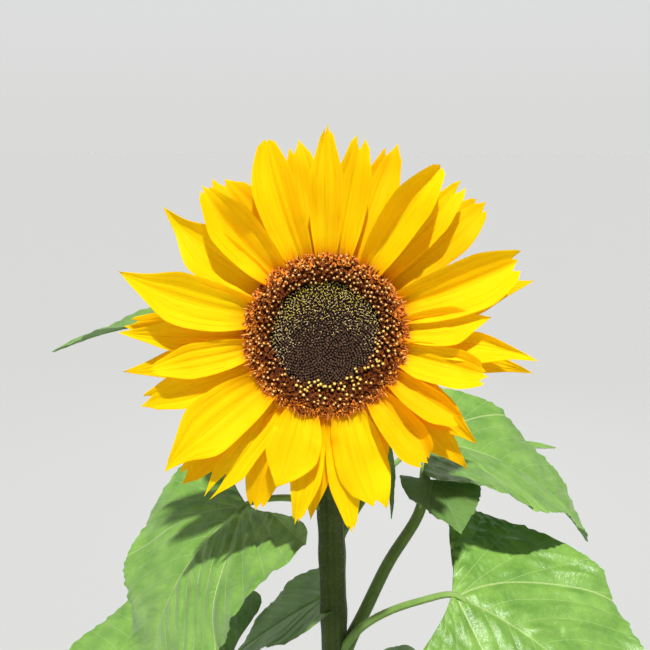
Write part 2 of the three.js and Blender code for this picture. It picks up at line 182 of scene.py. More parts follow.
class Shader:
    """A material under construction."""

    def __init__(self, name: str) -> None:
        """Starts an empty node tree with its output.

        Args:
            name: The material's name.
        """
        self.surface = bpy.data.materials.new(name)
        self.surface.use_nodes = True
        self.tree = self.surface.node_tree
        self.tree.nodes.clear()
        self.output = self.tree.nodes.new("ShaderNodeOutputMaterial")

    def node(
        self,
        kind: str,
        settings: dict[str, Any] | None = None,
        inputs: dict[Any, Any] | None = None,
    ) -> bpy.types.Node:
        """Adds one node.

        Args:
            kind: The node's type.
            settings: Properties of the node, set first. "stops" are a ramp's places and colours.
            inputs: A value, a Value or a socket for each input, by number, identifier or name.

        Returns:
            The new node.
        """
        made = self.tree.nodes.new(kind)
        for name, setting in (settings or {}).items():
            if name == "stops":
                self.set_stops(made.color_ramp, setting)
            else:
                setattr(made, name, setting)
        for name, given in (inputs or {}).items():
            socket = self._input(made, name)
            given = given.socket if isinstance(given, Value) else given
            if isinstance(given, Socket):
                self.tree.links.new(given, socket)
            else:
                socket.default_value = given
        return made

    @staticmethod
    def set_stops(ramp: bpy.types.ColorRamp, stops: Sequence[tuple[float, Paint]]) -> None:
        """Gives a ramp its places and colours.

        Args:
            ramp: The ramp.
            stops: A place and a colour for each stop.
        """
        while len(ramp.elements) < len(stops):
            ramp.elements.new(0.5)
        for element, (place, colour) in zip(ramp.elements, stops):
            element.position = place
            element.color = colour

    @staticmethod
    def _input(made: bpy.types.Node, name: Any) -> Socket:
        """Finds an input of a node.

        Args:
            made: The node.
            name: The input's number, identifier or name.

        Returns:
            The input.
        """
        if isinstance(name, int):
            return made.inputs[name]
        for socket in made.inputs:
            if socket.identifier == name:
                return socket
        return made.inputs[name]

    def maths(self, operation: str, *terms: Any, clamp: bool = False) -> Value:
        """Adds one Math node.

        Args:
            operation: What it does.
            *terms: What it works on.
            clamp: Whether the result is held between 0 and 1.

        Returns:
            The result.
        """
        settings = {"operation": operation, "use_clamp": clamp}
        made = self.node("ShaderNodeMath", settings, dict(enumerate(terms)))
        return Value(self, made.outputs[0])

    def absolute(self, value: Value) -> Value:
        """The value without its sign."""
        return self.maths("ABSOLUTE", value)

    def least(self, one: Value, other: Any) -> Value:
        """The smaller of the two."""
        return self.maths("MINIMUM", one, other)

    def root(self, value: Value) -> Value:
        """The square root."""
        return self.maths("SQRT", value)

    def angle(self, rise: Value, run: Value) -> Value:
        """The angle of a rise over a run, in radians."""
        return self.maths("ARCTAN2", rise, run)

    def above(self, value: Value) -> Value:
        """1 where the value is over 0, or else 0."""
        return self.maths("GREATER_THAN", value, 0.0)

    def off_whole(self, value: Value) -> Value:
        """How far the value is from the nearest whole number."""
        return self.absolute(value - self.maths("ROUND", value))

    def clamped(self, value: Value) -> Value:
        """The value held between 0 and 1."""
        return self.maths("ADD", value, 0.0, clamp=True)

    def grown(self) -> tuple[Value, Value]:
        """Reads the map that follows a blade or a limb.

        Returns:
            Places across it and along it.
        """
        made = self.node("ShaderNodeUVMap", {"uv_map": GROWN_MAP})
        parts = self.node("ShaderNodeSeparateXYZ", inputs={0: made.outputs[0]})
        return Value(self, parts.outputs[0]), Value(self, parts.outputs[1])

    def place(self) -> Socket:
        """Object coordinates, in metres."""
        return self.node("ShaderNodeTexCoord").outputs["Object"]

    def point(self, x: Any, y: Any, z: Any = 0.0) -> Socket:
        """A vector of three values."""
        return self.node("ShaderNodeCombineXYZ", inputs={0: x, 1: y, 2: z}).outputs[0]

    def cloud(self, where: Any, scale: float, detail: float = 2.0, rough: float = 0.5) -> Value:
        """Soft noise from 0 to 1, scale features to a unit of length."""
        inputs = {"Vector": where, "Scale": scale, "Detail": detail, "Roughness": rough}
        return Value(self, self.node("ShaderNodeTexNoise", inputs=inputs).outputs[0])

    def cells(self, where: Any, scale: float) -> Value:
        """Measures how far points are from the edges of their cells.

        Args:
            where: The points.
            scale: Cells to a unit of length.

        Returns:
            The distances.
        """
        settings = {"feature": "DISTANCE_TO_EDGE"}
        inputs = {"Vector": where, "Scale": scale}
        return Value(self, self.node("ShaderNodeTexVoronoi", settings, inputs).outputs[0])

    def mixed(self, share: Any, one: Any, other: Any) -> Socket:
        """Mixes two colours.

        Args:
            share: How much of the other one there is.
            one: A colour.
            other: The other.

        Returns:
            The mixed colour.
        """
        inputs = {"Factor_Float": share, "A_Color": one, "B_Color": other}
        made = self.node("ShaderNodeMix", {"data_type": "RGBA"}, inputs)
        return next(s for s in made.outputs if s.identifier == "Result_Color")

    def bump(self, height: Value, depth: float, strength: float = 1.0) -> Socket:
        """A normal for a relief whose height of 1 is depth metres."""
        inputs = {"Height": height, "Distance": depth, "Strength": strength}
        return self.node("ShaderNodeBump", inputs=inputs).outputs[0]

    def finish(
        self,
        inputs: dict[str, Any],
        through: Paint | None = None,
        share: float = 0.0,
    ) -> None:
        """Ends the tree in a surface.

        Args:
            inputs: Inputs of the Principled shader.
            through: The colour of the light that comes through a thin blade, if any does.
            share: How much of the light comes through.
        """
        skin = self.node("ShaderNodeBsdfPrincipled", inputs=inputs).outputs[0]
        if through is not None:
            lit = {"Color": through}
            if "Normal" in inputs:
                lit["Normal"] = inputs["Normal"]
            thin = self.node("ShaderNodeBsdfTranslucent", inputs=lit).outputs[0]
            skin = self.node("ShaderNodeMixShader", inputs={0: share, 1: skin, 2: thin}).outputs[0]
        self.tree.links.new(skin, self.output.inputs["Surface"])


class ArrayMaths:
    """The same maths as Shader's, on arrays, so that relief and colour share one pattern."""

    absolute = np.abs
    least = np.minimum
    root = np.sqrt
    angle = np.arctan2

    @staticmethod
    def above(value: Numbers) -> Numbers:
        """1 where the value is over 0, or else 0."""
        return (value > 0).astype(float)

    @staticmethod
    def off_whole(value: Numbers) -> Numbers:
        """How far the value is from the nearest whole number."""
        return np.abs(value - np.round(value))


@dataclass(frozen=True)
class VeinPattern:
    """Where a leaf's veins run. Places are shares of its length: x from the midrib, y along it."""

    start: float = 0.02  # where the two basal veins leave the midrib
    rise: float = 0.75  # their slope there
    sweep: float = 1.3  # how they turn towards the tip
    step: float = 0.1  # between side veins above the basal ones
    unevenness: float = 0.012  # what the step gains on one side
    fan: tuple[float, float] = (-0.12, -0.04)  # centre of the fan of veins below the basal ones
    fan_step: float = 0.16  # radians between them

    def distances(self, x: Any, y: Any, maths: Any) -> tuple[Any, Any]:
        """Measures how far a place is from the veins.

        Args:
            x: Place across the leaf, negative on one side.
            y: Place along the leaf.
            maths: ArrayMaths for arrays, or a Shader for values.

        Returns:
            Distance to the nearest main vein and to the nearest side vein.
        """
        off = maths.absolute(x)
        lift = y - (off * self.rise + off * off * self.sweep + self.start)
        slope = off * (2 * self.sweep) + self.rise
        steep = maths.root(slope * slope + 1)
        main = maths.least(off, maths.absolute(lift) / steep)
        step = maths.above(x) * self.unevenness + self.step
        pinnate = maths.off_whole(lift / step) * step / steep
        run = off - self.fan[0]
        climb = y - self.fan[1]
        reach = maths.root(run * run + climb * climb)
        fanned = maths.off_whole(maths.angle(climb, run) / self.fan_step) * self.fan_step * reach
        upper = maths.above(lift)
        return main, pinnate * upper + fanned * (1 - upper)


VEINS = VeinPattern()


# Finishes


class Finish:
    """What a piece is finished with. Each finish makes its material once."""

    made: dict[Any, bpy.types.Material] = {}

    def material(self) -> bpy.types.Material:
        """Makes the material on its first use.

        Returns:
            The finish's material.
        """
        if self not in Finish.made:
            shader = Shader(type(self).__name__)
            self.dress(shader)
            Finish.made[self] = shader.surface
        return Finish.made[self]

    def dress(self, shader: Shader) -> None:
        """Builds the material's nodes."""
        raise NotImplementedError


@dataclass(frozen=True)
class PetalFinish(Finish):
    """A ray floret's skin: yellow and finely ribbed, with orange painted shade in its grooves and
    an orange root that is partly painted shade.
    """

    lit: Paint = paint(255, 236, 0)
    deep: Paint = paint(254, 208, 0)
    # line: orange painted shade, laid in the floret's grooves
    line: Paint = paint(226, 136, 0)
    # root: deeper orange at the floret's root, partly its own colour and partly painted shade from
    # the ring's lobes
    root: Paint = paint(234, 136, 0)
    through: Paint = paint(255, 214, 0)
    share_through: float = 0.55
    roughness: float = 0.62
    veins: float = 57.0  # radians of their wave over the floret's width
    groove_shade_strength: float = 0.34
    root_shade_strength: float = 0.75
    root_shade_reach: float = 0.2
    relief_depth: float = 0.00022

    def dress(self, shader: Shader) -> None:
        """Fine veins along the floret, orange painted shade in some of its grooves, and a deeper
        root that is partly painted shade.

        Args:
            shader: The material's shader.
        """
        across, along = shader.grown()
        spot = shader.cloud(shader.place(), 24.0, 1.0)
        streak = shader.cloud(shader.point(across * 22.0, along * 0.8, spot * 3.0), 1.0, 2.0)
        blotch = shader.cloud(shader.point(across * 2.0, along * 1.6, spot * 4.0), 1.0, 1.0)
        depth = shader.clamped((blotch - 0.44) * 1.5 + (streak - 0.5) * 0.3)
        body = shader.mixed(depth, self.lit, self.deep)
        vein = shader.maths("SINE", across * self.veins + blotch * 3.0)
        strong = shader.cloud(shader.point(across * 8.0, along * 1.1, spot * 5.0), 1.0, 1.0)
        # painted shade: orange lines where the relief sinks grooves, fading towards the tip
        groove_shade = shader.clamped((vein - 0.86) * 8) * shader.clamped((strong - 0.46) * 5)
        groove_shade = groove_shade * shader.clamped((1.05 - along) * 2)
        groove_shaded = shader.mixed(groove_shade * self.groove_shade_strength, body, self.line)
        # orange towards the root: partly its own colour, partly painted shade
        foot = shader.clamped(1 - along / self.root_shade_reach) ** 1.6
        colour = shader.mixed(foot * self.root_shade_strength, groove_shaded, self.root)
        relief = streak * 0.25 - (vein * 0.5 + 0.5) ** 4 * 0.2 - groove_shade * 0.5
        shader.finish(
            {
                "Base Color": colour,
                "Roughness": streak * 0.15 + self.roughness,
                "Specular IOR Level": 0.12,
                "Normal": shader.bump(relief, self.relief_depth),
            },
            self.through,
            self.share_through,
        )


@dataclass(frozen=True)
class LeafFinish(Finish):
    """A leaf's face: green with pale veins, netted and slightly rough."""

    lit: Paint = paint(132, 174, 74)
    deep: Paint = paint(74, 121, 37)
    vein: Paint = paint(186, 208, 132)
    through: Paint = paint(150, 204, 30)
    share_through: float = 0.2
    main_width: float = 0.0029
    side_width: float = 0.0013
    vein_strength: float = 0.75
    roughness: float = 0.4
    net_depth: float = 0.00024
    net_cells: float = 42.0  # to a leaf's length
    fine_cells: float = 130.0

    def dress(self, shader: Shader) -> None:
        """Veins from the shared pattern, a net between them and mottled green.

        Args:
            shader: The material's shader.
        """
        across, along = shader.grown()
        x = across - 0.5
        main, side = VEINS.distances(x, along, shader)
        thinning = 1.25 - along * 0.7
        on_main = shader.clamped(1.5 - main / (thinning * self.main_width))
        on_side = shader.clamped(1.5 - side / (thinning * self.side_width))
        flat = shader.point(across, along)
        net = shader.clamped(shader.cells(flat, self.net_cells) * 5.0)
        fine = shader.clamped(shader.cells(flat, self.fine_cells) * 6.0)
        mottle = shader.cloud(shader.place(), 55.0, 3.0)
        grain = shader.cloud(shader.place(), 1400.0, 2.0)
        depth = shader.clamped((mottle - 0.35) * 1.5 + (1 - net) * 0.12 + (1 - fine) * 0.06)
        body = shader.mixed(depth, self.lit, self.deep)
        veined = shader.mixed(on_side * (self.vein_strength * 0.5), body, self.vein)
        colour = shader.mixed(on_main * self.vein_strength, veined, self.vein)
        relief = net * 0.3 + fine * 0.25 + grain * 0.3 - on_side * 0.6
        shader.finish(
            {
                "Base Color": colour,
                "Roughness": grain * 0.18 + self.roughness - 0.09,
                "Specular IOR Level": 0.7,
                "Sheen Weight": 0.15,
                "Normal": shader.bump(relief, self.net_depth),
            },
            self.through,
            self.share_through,
        )


@dataclass(frozen=True)
class StemFinish(Finish):
    """The skin of stems and stalks: olive green, ribbed along its length, with paler ribs."""

    lit: Paint
    deep: Paint
    ribs: float = 14.0
    roughness: float = 0.55
    relief_depth: float = 0.0003

    def dress(self, shader: Shader) -> None:
        """Ribs round the limb with mottling between them.

        Args:
            shader: The material's shader.
        """
        around, _ = shader.grown()
        mottle = shader.cloud(shader.place(), 90.0, 3.0)
        grain = shader.cloud(shader.place(), 1600.0, 2.0)
        turn = around * math.tau
        rib = shader.maths("SINE", turn * self.ribs) * 0.5 + 0.5
        strands = shader.maths("SINE", turn * (self.ribs * 4)) * 0.5 + 0.5
        depth = shader.clamped((mottle - 0.3) * 1.1 + (1 - rib) * 0.25 + strands * 0.12)
        relief = rib * 0.8 + strands * 0.35 + grain * 0.5
        shader.finish(
            {
                "Base Color": shader.mixed(depth, self.lit, self.deep),
                "Roughness": grain * 0.2 + self.roughness - 0.1,
                "Specular IOR Level": 0.25,
                "Sheen Weight": 0.12,
                "Sheen Roughness": 0.4,
                "Normal": shader.bump(relief, self.relief_depth),
            }
        )


@dataclass(frozen=True)
class SpeckFinish(Finish):
    """A near-plain finish for small parts that are repeated many times."""

    colour: Paint
    shade: Paint
    roughness: float = 0.6
    sheen: float = 0.0
    relief_depth: float = 0.00008

    def dress(self, shader: Shader) -> None:
        """A slight mottle between two close colours, and a fine grain.

        Args:
            shader: The material's shader.
        """
        mottle = shader.cloud(shader.place(), 260.0, 2.0)
        grain = shader.cloud(shader.place(), 2600.0, 1.0)
        depth = shader.clamped((mottle - 0.35) * 2.2)
        shader.finish(
            {
                "Base Color": shader.mixed(depth, self.colour, self.shade),
                "Roughness": grain * 0.2 + self.roughness - 0.1,
                "Specular IOR Level": 0.2,
                "Sheen Weight": self.sheen,
                "Normal": shader.bump(grain, self.relief_depth),
            }
        )


@dataclass(frozen=True)
class FloorFinish(Finish):
    """The studio's plain pale floor."""

    colour: Paint = paint(169, 169, 166)

    def dress(self, shader: Shader) -> None:
        """A plain matt surface."""
        shader.finish({"Base Color": self.colour, "Roughness": 0.9})


PETAL = PetalFinish()
# painted shade: the back tier, lying under the other florets, takes a deeper yellow
PETAL_SHADED_BEHIND = PetalFinish(lit=paint(255, 224, 0), deep=paint(253, 190, 0))
PETAL_WARM = PetalFinish(lit=paint(255, 218, 0), deep=paint(252, 178, 0))
LEAF_FACE = LeafFinish()
LEAF_BACK = LeafFinish(
    lit=paint(128, 166, 92),
    deep=paint(98, 138, 66),
    vein=paint(182, 204, 138),
    roughness=0.6,
    main_width=0.0048,
    side_width=0.0028,
)
# painted shade: a darker face for the small leaves that lie in the head's shadow
LEAF_SHADED = LeafFinish(lit=paint(98, 140, 46), deep=paint(60, 98, 24), roughness=0.45)
# the main stem's dark olive is partly its own colour and partly painted shade of the head, darker
# than the shoot's and stalks'
STEM_SKIN_SHADED = StemFinish(lit=paint(74, 90, 22), deep=paint(42, 56, 10))
SHOOT_SKIN = StemFinish(lit=paint(112, 138, 62), deep=paint(72, 98, 36))
STALK_SKIN = StemFinish(lit=paint(134, 164, 84), deep=paint(92, 128, 52), ribs=5.0)
BRACT_SKIN = SpeckFinish(paint(120, 154, 70), paint(84, 122, 46), sheen=0.25)
HAIR = SpeckFinish(paint(206, 214, 176), paint(176, 190, 140), sheen=0.2)
BUD = SpeckFinish(paint(84, 58, 42), paint(48, 32, 22), roughness=0.75)
BUD_BED = SpeckFinish(paint(30, 18, 11), paint(18, 11, 7), roughness=0.9)
CURL_BRIGHT = SpeckFinish(paint(236, 216, 84), paint(196, 174, 50))
CURL_CREAM = SpeckFinish(paint(242, 222, 160), paint(196, 172, 112))
CURL_BROWN = SpeckFinish(paint(142, 110, 86), paint(98, 72, 52))
FLORET_BED = SpeckFinish(paint(82, 38, 12), paint(50, 22, 7), roughness=0.9)
COROLLA_OUTER = SpeckFinish(paint(232, 140, 44), paint(188, 94, 24))
COROLLA_INNER = SpeckFinish(paint(144, 72, 20), paint(96, 44, 12))
ANTHER = SpeckFinish(paint(112, 56, 20), paint(72, 34, 12), roughness=0.6)
THREAD_BRIGHT = SpeckFinish(paint(252, 184, 88), paint(236, 144, 46))
THREAD_RUST = SpeckFinish(paint(228, 136, 46), paint(184, 92, 24))
THREAD_DARK = SpeckFinish(paint(148, 74, 22), paint(100, 46, 14))
POLLEN = SpeckFinish(paint(224, 184, 114), paint(190, 146, 82))
POLLEN_FRESH = SpeckFinish(paint(228, 206, 112), paint(200, 172, 80))


# Meshes


def settle(bm: Shape, name: str, finishes: Sequence[Finish]) -> bpy.types.Object:
    """Turns a bmesh in millimetres into an object in metres at the origin.

    Args:
        bm: The shape. It is freed.
        name: The piece's name.
        finishes: The finishes that its faces' material numbers mean.

    Returns:
        The new object.
    """
    bmesh.ops.scale(bm, vec=(MM, MM, MM), verts=bm.verts)
    mesh = bpy.data.meshes.new(name)
    bm.to_mesh(mesh)
    bm.free()
    for finish in finishes:
        mesh.materials.append(finish.material())
    made = bpy.data.objects.new(name, mesh)
    bpy.context.scene.collection.objects.link(made)
    return made


def grow_piece(
    bm: Shape,
    name: str,
    finishes: Sequence[Finish],
    nodes: Sequence[str] = (),
) -> bpy.types.Object:
    """Finishes a piece of the plant and reports it.

    Args:
        bm: The shape in millimetres. It is freed.
        name: The piece's name.
        finishes: The finishes that its faces' material numbers mean.
        nodes: The solids that it stands for.

    Returns:
        The new piece.
    """
    piece = settle(bm, name, finishes)
    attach(piece, BODY)
    if nodes:
        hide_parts(*nodes)
    triangles = sum(len(face.vertices) - 2 for face in piece.data.polygons)
    LOG.info("%s: %d triangles", name, triangles)
    return piece


def joined(shapes: Sequence[Shape]) -> Shape:
    """Puts several shapes into one.

    Args:
        shapes: The shapes. They are freed.

    Returns:
        One shape with all of them.
    """
    whole = bmesh.new()
    for shape in shapes:
        part = bpy.data.meshes.new("part")
        shape.to_mesh(part)
        shape.free()
        whole.from_mesh(part)
        bpy.data.meshes.remove(part)
    return whole


def mapped_grid(
    columns: int,
    rows: int,
    place: Callable[[Numbers, Numbers], tuple[Points, Numbers]],
) -> Shape:
    """Makes a grid and moves its corners.

    Args:
        columns: Faces across.
        rows: Faces along.
        place: Takes x from -1 to 1 across and y from 0 to 1 along, and gives the points in
            millimetres and their places on the grown map.

    Returns:
        The grid, in smooth faces.
    """
    bm = bmesh.new()
    layer = bm.loops.layers.uv.new(GROWN_MAP)
    bmesh.ops.create_grid(bm, x_segments=columns, y_segments=rows, size=1)
    corners = np.array([vertex.co[:2] for vertex in bm.verts])
    x = np.round((corners[:, 0] + 1) / 2 * columns) / columns * 2 - 1
    y = np.round((corners[:, 1] + 1) / 2 * rows) / rows
    points, grown = place(x, y)
    for vertex, point in zip(bm.verts, points.tolist()):
        vertex.co = point
    flat = grown.tolist()
    for face in bm.faces:
        face.smooth = True
        for loop in face.loops:
            loop[layer].uv = flat[loop.vert.index]
    return bm


def blade_solid(
    columns: int,
    rows: int,
    place: Callable[[Numbers, Numbers, int], tuple[Points, Numbers]],
    back_number: int = 1,
) -> Shape:
    """Makes a closed blade from two grids that meet all round its edge.

    Args:
        columns: Faces across.
        rows: Faces along.
        place: As mapped_grid's, with 1 for the upper face or -1 for the lower one as well.
        back_number: The material number of the lower face.

    Returns:
        The blade, its rim a sharp edge.
    """
    face = mapped_grid(columns, rows, lambda x, y: place(x, y, 1))
    back = mapped_grid(columns, rows, lambda x, y: place(x, y, -1))
    bmesh.ops.reverse_faces(back, faces=back.faces)
    for polygon in back.faces:
        polygon.material_index = back_number
    whole = joined([face, back])
    for edge in whole.edges:
        edge.smooth = not edge.is_boundary
    rim = [vertex for vertex in whole.verts if vertex.is_boundary]
    bmesh.ops.remove_doubles(whole, verts=rim, dist=WELD)
    return whole


def edge_fade(x: Numbers, y: Numbers, columns: int, rows: int) -> Numbers:
    """1 inside a blade's grid and 0 on its rim."""
    sides = (1 - np.abs(x)) * columns / 2
    return np.clip(np.minimum(sides, np.minimum(y, 1 - y) * rows), 0, 1)


@dataclass
class Path:
    """A line through evenly spaced points, with a side direction carried along it."""

    points: Points
    first_side: Points
    sides: Points = field(init=False)
    tangents: Points = field(init=False)

    def __post_init__(self) -> None:
        """Carries the side direction from point to point."""
        self.tangents = unit(np.gradient(self.points, axis=0))
        side = self.first_side
        sides = []
        for tangent in self.tangents:
            side = unit(side - tangent * np.dot(side, tangent))
            sides.append(side)
        self.sides = np.array(sides)

    @property
    def length(self) -> float:
        """Length of the line."""
        return float(np.linalg.norm(np.diff(self.points, axis=0), axis=1).sum())

    def at(self, share: Numbers) -> tuple[Points, Points, Points]:
        """Finds places on the line.

        Args:
            share: Shares of its length.

        Returns:
            Rows of points, side directions and directions over it.
        """
        place = np.clip(share, 0, 1) * (len(self.points) - 1)
        point = at_places(self.points, place)
        tangent = unit(at_places(self.tangents, place))
        side = unit(at_places(self.sides, place))
        return point, side, np.cross(tangent, side)


@dataclass
class Limb:
    """A round limb along a path. radius takes shares of the length and angles round it."""

    path: Path
    radius: Callable[[Numbers, Numbers], Numbers]

    def skin(self, share: Numbers, angle: Numbers) -> tuple[Points, Points]:
        """Finds places on the skin.

        Args:
            share: Shares of the length.
            angle: Angles from the side direction, in radians.

        Returns:
            Rows of points and of directions out of the skin.
        """
        point, side, over = self.path.at(share)
        out = side * np.cos(angle)[:, None] + over * np.sin(angle)[:, None]
        return point + out * self.radius(share, angle)[:, None], out

    def solid(self, columns: int, rows: int, number: int = 0) -> Shape:
        """Makes the closed limb.

        Args:
            columns: Faces round it.
            rows: Faces along it.
            number: The material number of its faces.

        Returns:
            The limb with both ends closed.
        """
        length = self.path.length * MM

        def place(x: Numbers, y: Numbers) -> tuple[Points, Numbers]:
            """Rolls the grid round the limb.

            Args:
                x: Places round it.
                y: Places along it.

            Returns:
                As mapped_grid asks.
            """
            seam = np.where(x >= 1, -1.0, x)  # the last column lies on the first
            points, _ = self.skin(y, seam * math.pi)
            return points, np.stack([(x + 1) / 2, y * length], axis=-1)

        bm = mapped_grid(columns, rows, place)
        ends = [vertex for vertex in bm.verts if vertex.is_boundary]
        bmesh.ops.remove_doubles(bm, verts=ends, dist=WELD)
        bmesh.ops.holes_fill(bm, edges=[edge for edge in bm.edges if edge.is_boundary], sides=0)
        bmesh.ops.recalc_face_normals(bm, faces=bm.faces)
        for face in bm.faces:
            face.material_index = number
        return bm


def strewn(
    template: Shape,
    places: Points,
    rises: Points,
    turns: Numbers,
    sizes: Points,
    numbers: Numbers | None = None,
) -> Shape:
    """Repeats a small shape as one joined mesh.

    Args:
        template: The shape, standing on the origin along +Z. It is freed.
        places: Rows of points where it stands.
        rises: Rows of directions that its +Z is turned to.
        turns: Angles about that direction, in radians.
        sizes: Rows of scales along x, y and z.
        numbers: Material numbers, if they aren't all 0.

    Returns:
        The joined mesh.
    """
    template.verts.ensure_lookup_table()
    corners = np.array([vertex.co[:] for vertex in template.verts])
    faces = [[vertex.index for vertex in face.verts] for face in template.faces]
    smooth = [face.smooth for face in template.faces]
    template.free()
    z = unit(rises)
    lean = np.where(np.abs(z[:, 2:]) > 0.9, np.array([1.0, 0, 0]), UP)
    across = unit(np.cross(lean, z))
    over = np.cross(z, across)
    x = across * np.cos(turns)[:, None] + over * np.sin(turns)[:, None]
    axes = np.stack([x, np.cross(z, x), z], axis=1)
    points = np.einsum("nvk,nkj->nvj", corners[None] * sizes[:, None, :], axes) + places[:, None, :]
    count = len(places)
    starts = (np.arange(count) * len(corners)).tolist()
    polygons = [[start + index for index in face] for start in starts for face in faces]
    mesh = bpy.data.meshes.new("strewn")
    mesh.from_pydata(points.reshape(-1, 3).tolist(), [], polygons)
    mesh.polygons.foreach_set("use_smooth", smooth * count)
    if numbers is not None:
        mesh.polygons.foreach_set("material_index", np.repeat(numbers, len(faces)).astype(np.int32))
    whole = bmesh.new()
    whole.from_mesh(mesh)
    bpy.data.meshes.remove(mesh)
    return whole


def cone(sides: int, foot: float, top: float, height: float) -> Shape:
    """Makes a closed cone or tube that stands on the origin.

    Args:
        sides: Facets round it.
        foot: Radius at its foot.
        top: Radius at its top.
        height: Its height.

    Returns:
        The shape.
    """
    bm = bmesh.new()
    middle = Matrix.Translation((0, 0, height / 2))
    bmesh.ops.create_cone(
        bm, cap_ends=True, segments=sides, radius1=foot, radius2=top, depth=height, matrix=middle
    )
    return bm


def top_face(bm: Shape) -> bmesh.types.BMFace:
    """The face that lies highest."""
    return max(bm.faces, key=lambda face: face.calc_center_median().z)


def spike() -> Shape:
    """A three-sided spike, one unit high, with a foot of radius one."""
    return cone(3, 1.0, 0.0, 1.0)


def curled_thread(thick: float, bend: float) -> Shape:
    """Makes a thread one unit high that curls over at its end.

    Args:
        thick: Its radius at the foot.
        bend: How far its end leans over.

    Returns:
        The closed thread.
    """
    bm = cone(3, thick, thick * 0.5, 1.0)
    long_edges = [edge for edge in bm.edges if edge.calc_length() > 0.9]
    bmesh.ops.subdivide_edges(bm, edges=long_edges, cuts=3)
    for vertex in bm.verts:
        share = vertex.co.z
        vertex.co.x += bend * share**2
        vertex.co.z = share * (1 - 0.35 * share**2)
    for face in bm.faces:
        face.smooth = len(face.verts) > 3
    return bm


# Stem and shoot


@dataclass(frozen=True)
class StemLine:
    """The main stem's centre line and radius, by height and then round the neck to the head."""

    head_height: float = 1300.0
    head_tilt: float = 10.0
    neck_bend: float = 60.0
    span: float = 1240.0
    lean: float = -17.0
    waver: float = 4.0
    bow: float = 9.0
    top_radius: float = 9.4
    taper: float = 5.6
    flare: float = 5.0
    flare_height: float = 40.0
    back_depth: float = 30.0
    neck_radius: float = 11.0
    gap: float = 0.3

    @property
    def head_axis(self) -> Points:
        """The direction that the head faces."""
        tilt = math.radians(self.head_tilt)
        return np.array([0.0, -math.cos(tilt), math.sin(tilt)])

    @property
    def turn(self) -> float:
        """Angle of the neck's bend."""
        return math.radians(90 - self.head_tilt)

    @property
    def foot(self) -> float:
        """Height at which the neck starts to bend."""
        back = self.head_height - self.neck_bend * math.sin(self.turn)
        return back - self.back_depth * self.head_axis[2]

    @property
    def length(self) -> float:
        """Length from the ground to the back of the head."""
        return self.foot + self.neck_bend * self.turn - self.gap

    def point(self, travel: Numbers | float) -> Points:
        """Finds places by the length travelled from the ground.

        Args:
            travel: Lengths in millimetres.

        Returns:
            Rows of points.
        """
        travel = np.atleast_1d(travel).astype(float)
        share = np.minimum(travel, self.foot) / self.span
        turn = np.maximum(travel - self.foot, 0) / self.neck_bend
        waver = self.waver * np.sin(math.tau * share) * (1 - share)
        x = self.lean * share**3 + waver
        y = self.bow * np.sin(math.pi * share) - self.neck_bend * (1 - np.cos(turn))
        z = np.minimum(travel, self.foot) + self.neck_bend * np.sin(turn)
        return np.stack([x, y, z], axis=-1)

    def radius(self, travel: Numbers | float) -> Numbers:
        """Gives the stem's plain radius.

        Args:
            travel: Lengths from the ground, in millimetres.

        Returns:
            The radius there.
        """
        height = np.minimum(travel, self.foot)
        plain = self.top_radius + self.taper * (1 - height / self.span)
        plain = plain + self.flare * np.exp(-height / self.flare_height)
        neck = np.clip((travel - self.foot) / (self.length - self.foot), 0, 1)
        return between(plain, self.neck_radius, neck)

    @property
    def head_centre(self) -> Points:
        """The centre of the head."""
        return self.point(self.length)[0] + self.head_axis * (self.back_depth + self.gap)


STEM_LINE = StemLine()


@dataclass
class MainStem:
    """The ribbed main stem with swellings where its leaves leave it."""

    line: StemLine = STEM_LINE
    ribs: int = 11
    rib_share: float = 0.025
    swelling: float = 0.16
    swelling_height: float = 11.0
    root_ridges: int = 5
    root_share: float = 0.14
    root_height: float = 22.0
    rib_waves: tuple[float, float] = (83.0, 140.0)  # lengths over which the ribs change
    facets: tuple[int, int] = (66, 250)
    steps: int = 400
    cut: float = 0.4  # what lies lower is set on the ground
    nodes: tuple[float, ...] = ()  # heights of the swellings

    def limb(self) -> Limb:
        """Works out the stem as a limb.

        Returns:
            Its line and its ribbed radius.
        """
        line = self.line
        travel = np.linspace(0, line.length, self.steps)
        path = Path(line.point(travel), np.array([1.0, 0.0, 0.0]))
        path.points[0, 2] = 0.0

        def radius(share: Numbers, angle: Numbers) -> Numbers:
            """Adds ribs, swellings at the leaves and ridges at the root.

            Args:
                share: Shares of the length.
                angle: Angles round it.

            Returns:
                The radius there.
            """
            height = share * line.length
            plain = line.radius(height)
            slow = 1 + 0.4 * np.sin(height / self.rib_waves[0])
            sway = 1.2 * np.sin(height / self.rib_waves[1])
            rib = self.rib_share * slow * np.sin(self.ribs * angle + sway)
            fine = 0.3 * self.rib_share * np.sin(3 * self.ribs * angle + 0.7)
            swell = sum(mound(height - node, self.swelling_height) for node in self.nodes)
            root = self.root_share * np.exp(-height / self.root_height)
            ridges = root * np.sin(self.root_ridges * angle + 0.6)
            return plain * (1 + rib + fine + self.swelling * 0.5 * swell + ridges)

        return Limb(path, radius)

    def build(self) -> Limb:
        """Makes the stem's piece.

        Returns:
            The stem's limb.
        """
        limb = self.limb()
        bm = limb.solid(*self.facets)
        for vertex in bm.verts:
            if vertex.co.z < self.cut:
                vertex.co.z = 0.0
        grow_piece(bm, "main_stem_ribbed", [STEM_SKIN_SHADED], ["main_stem"])
        return limb


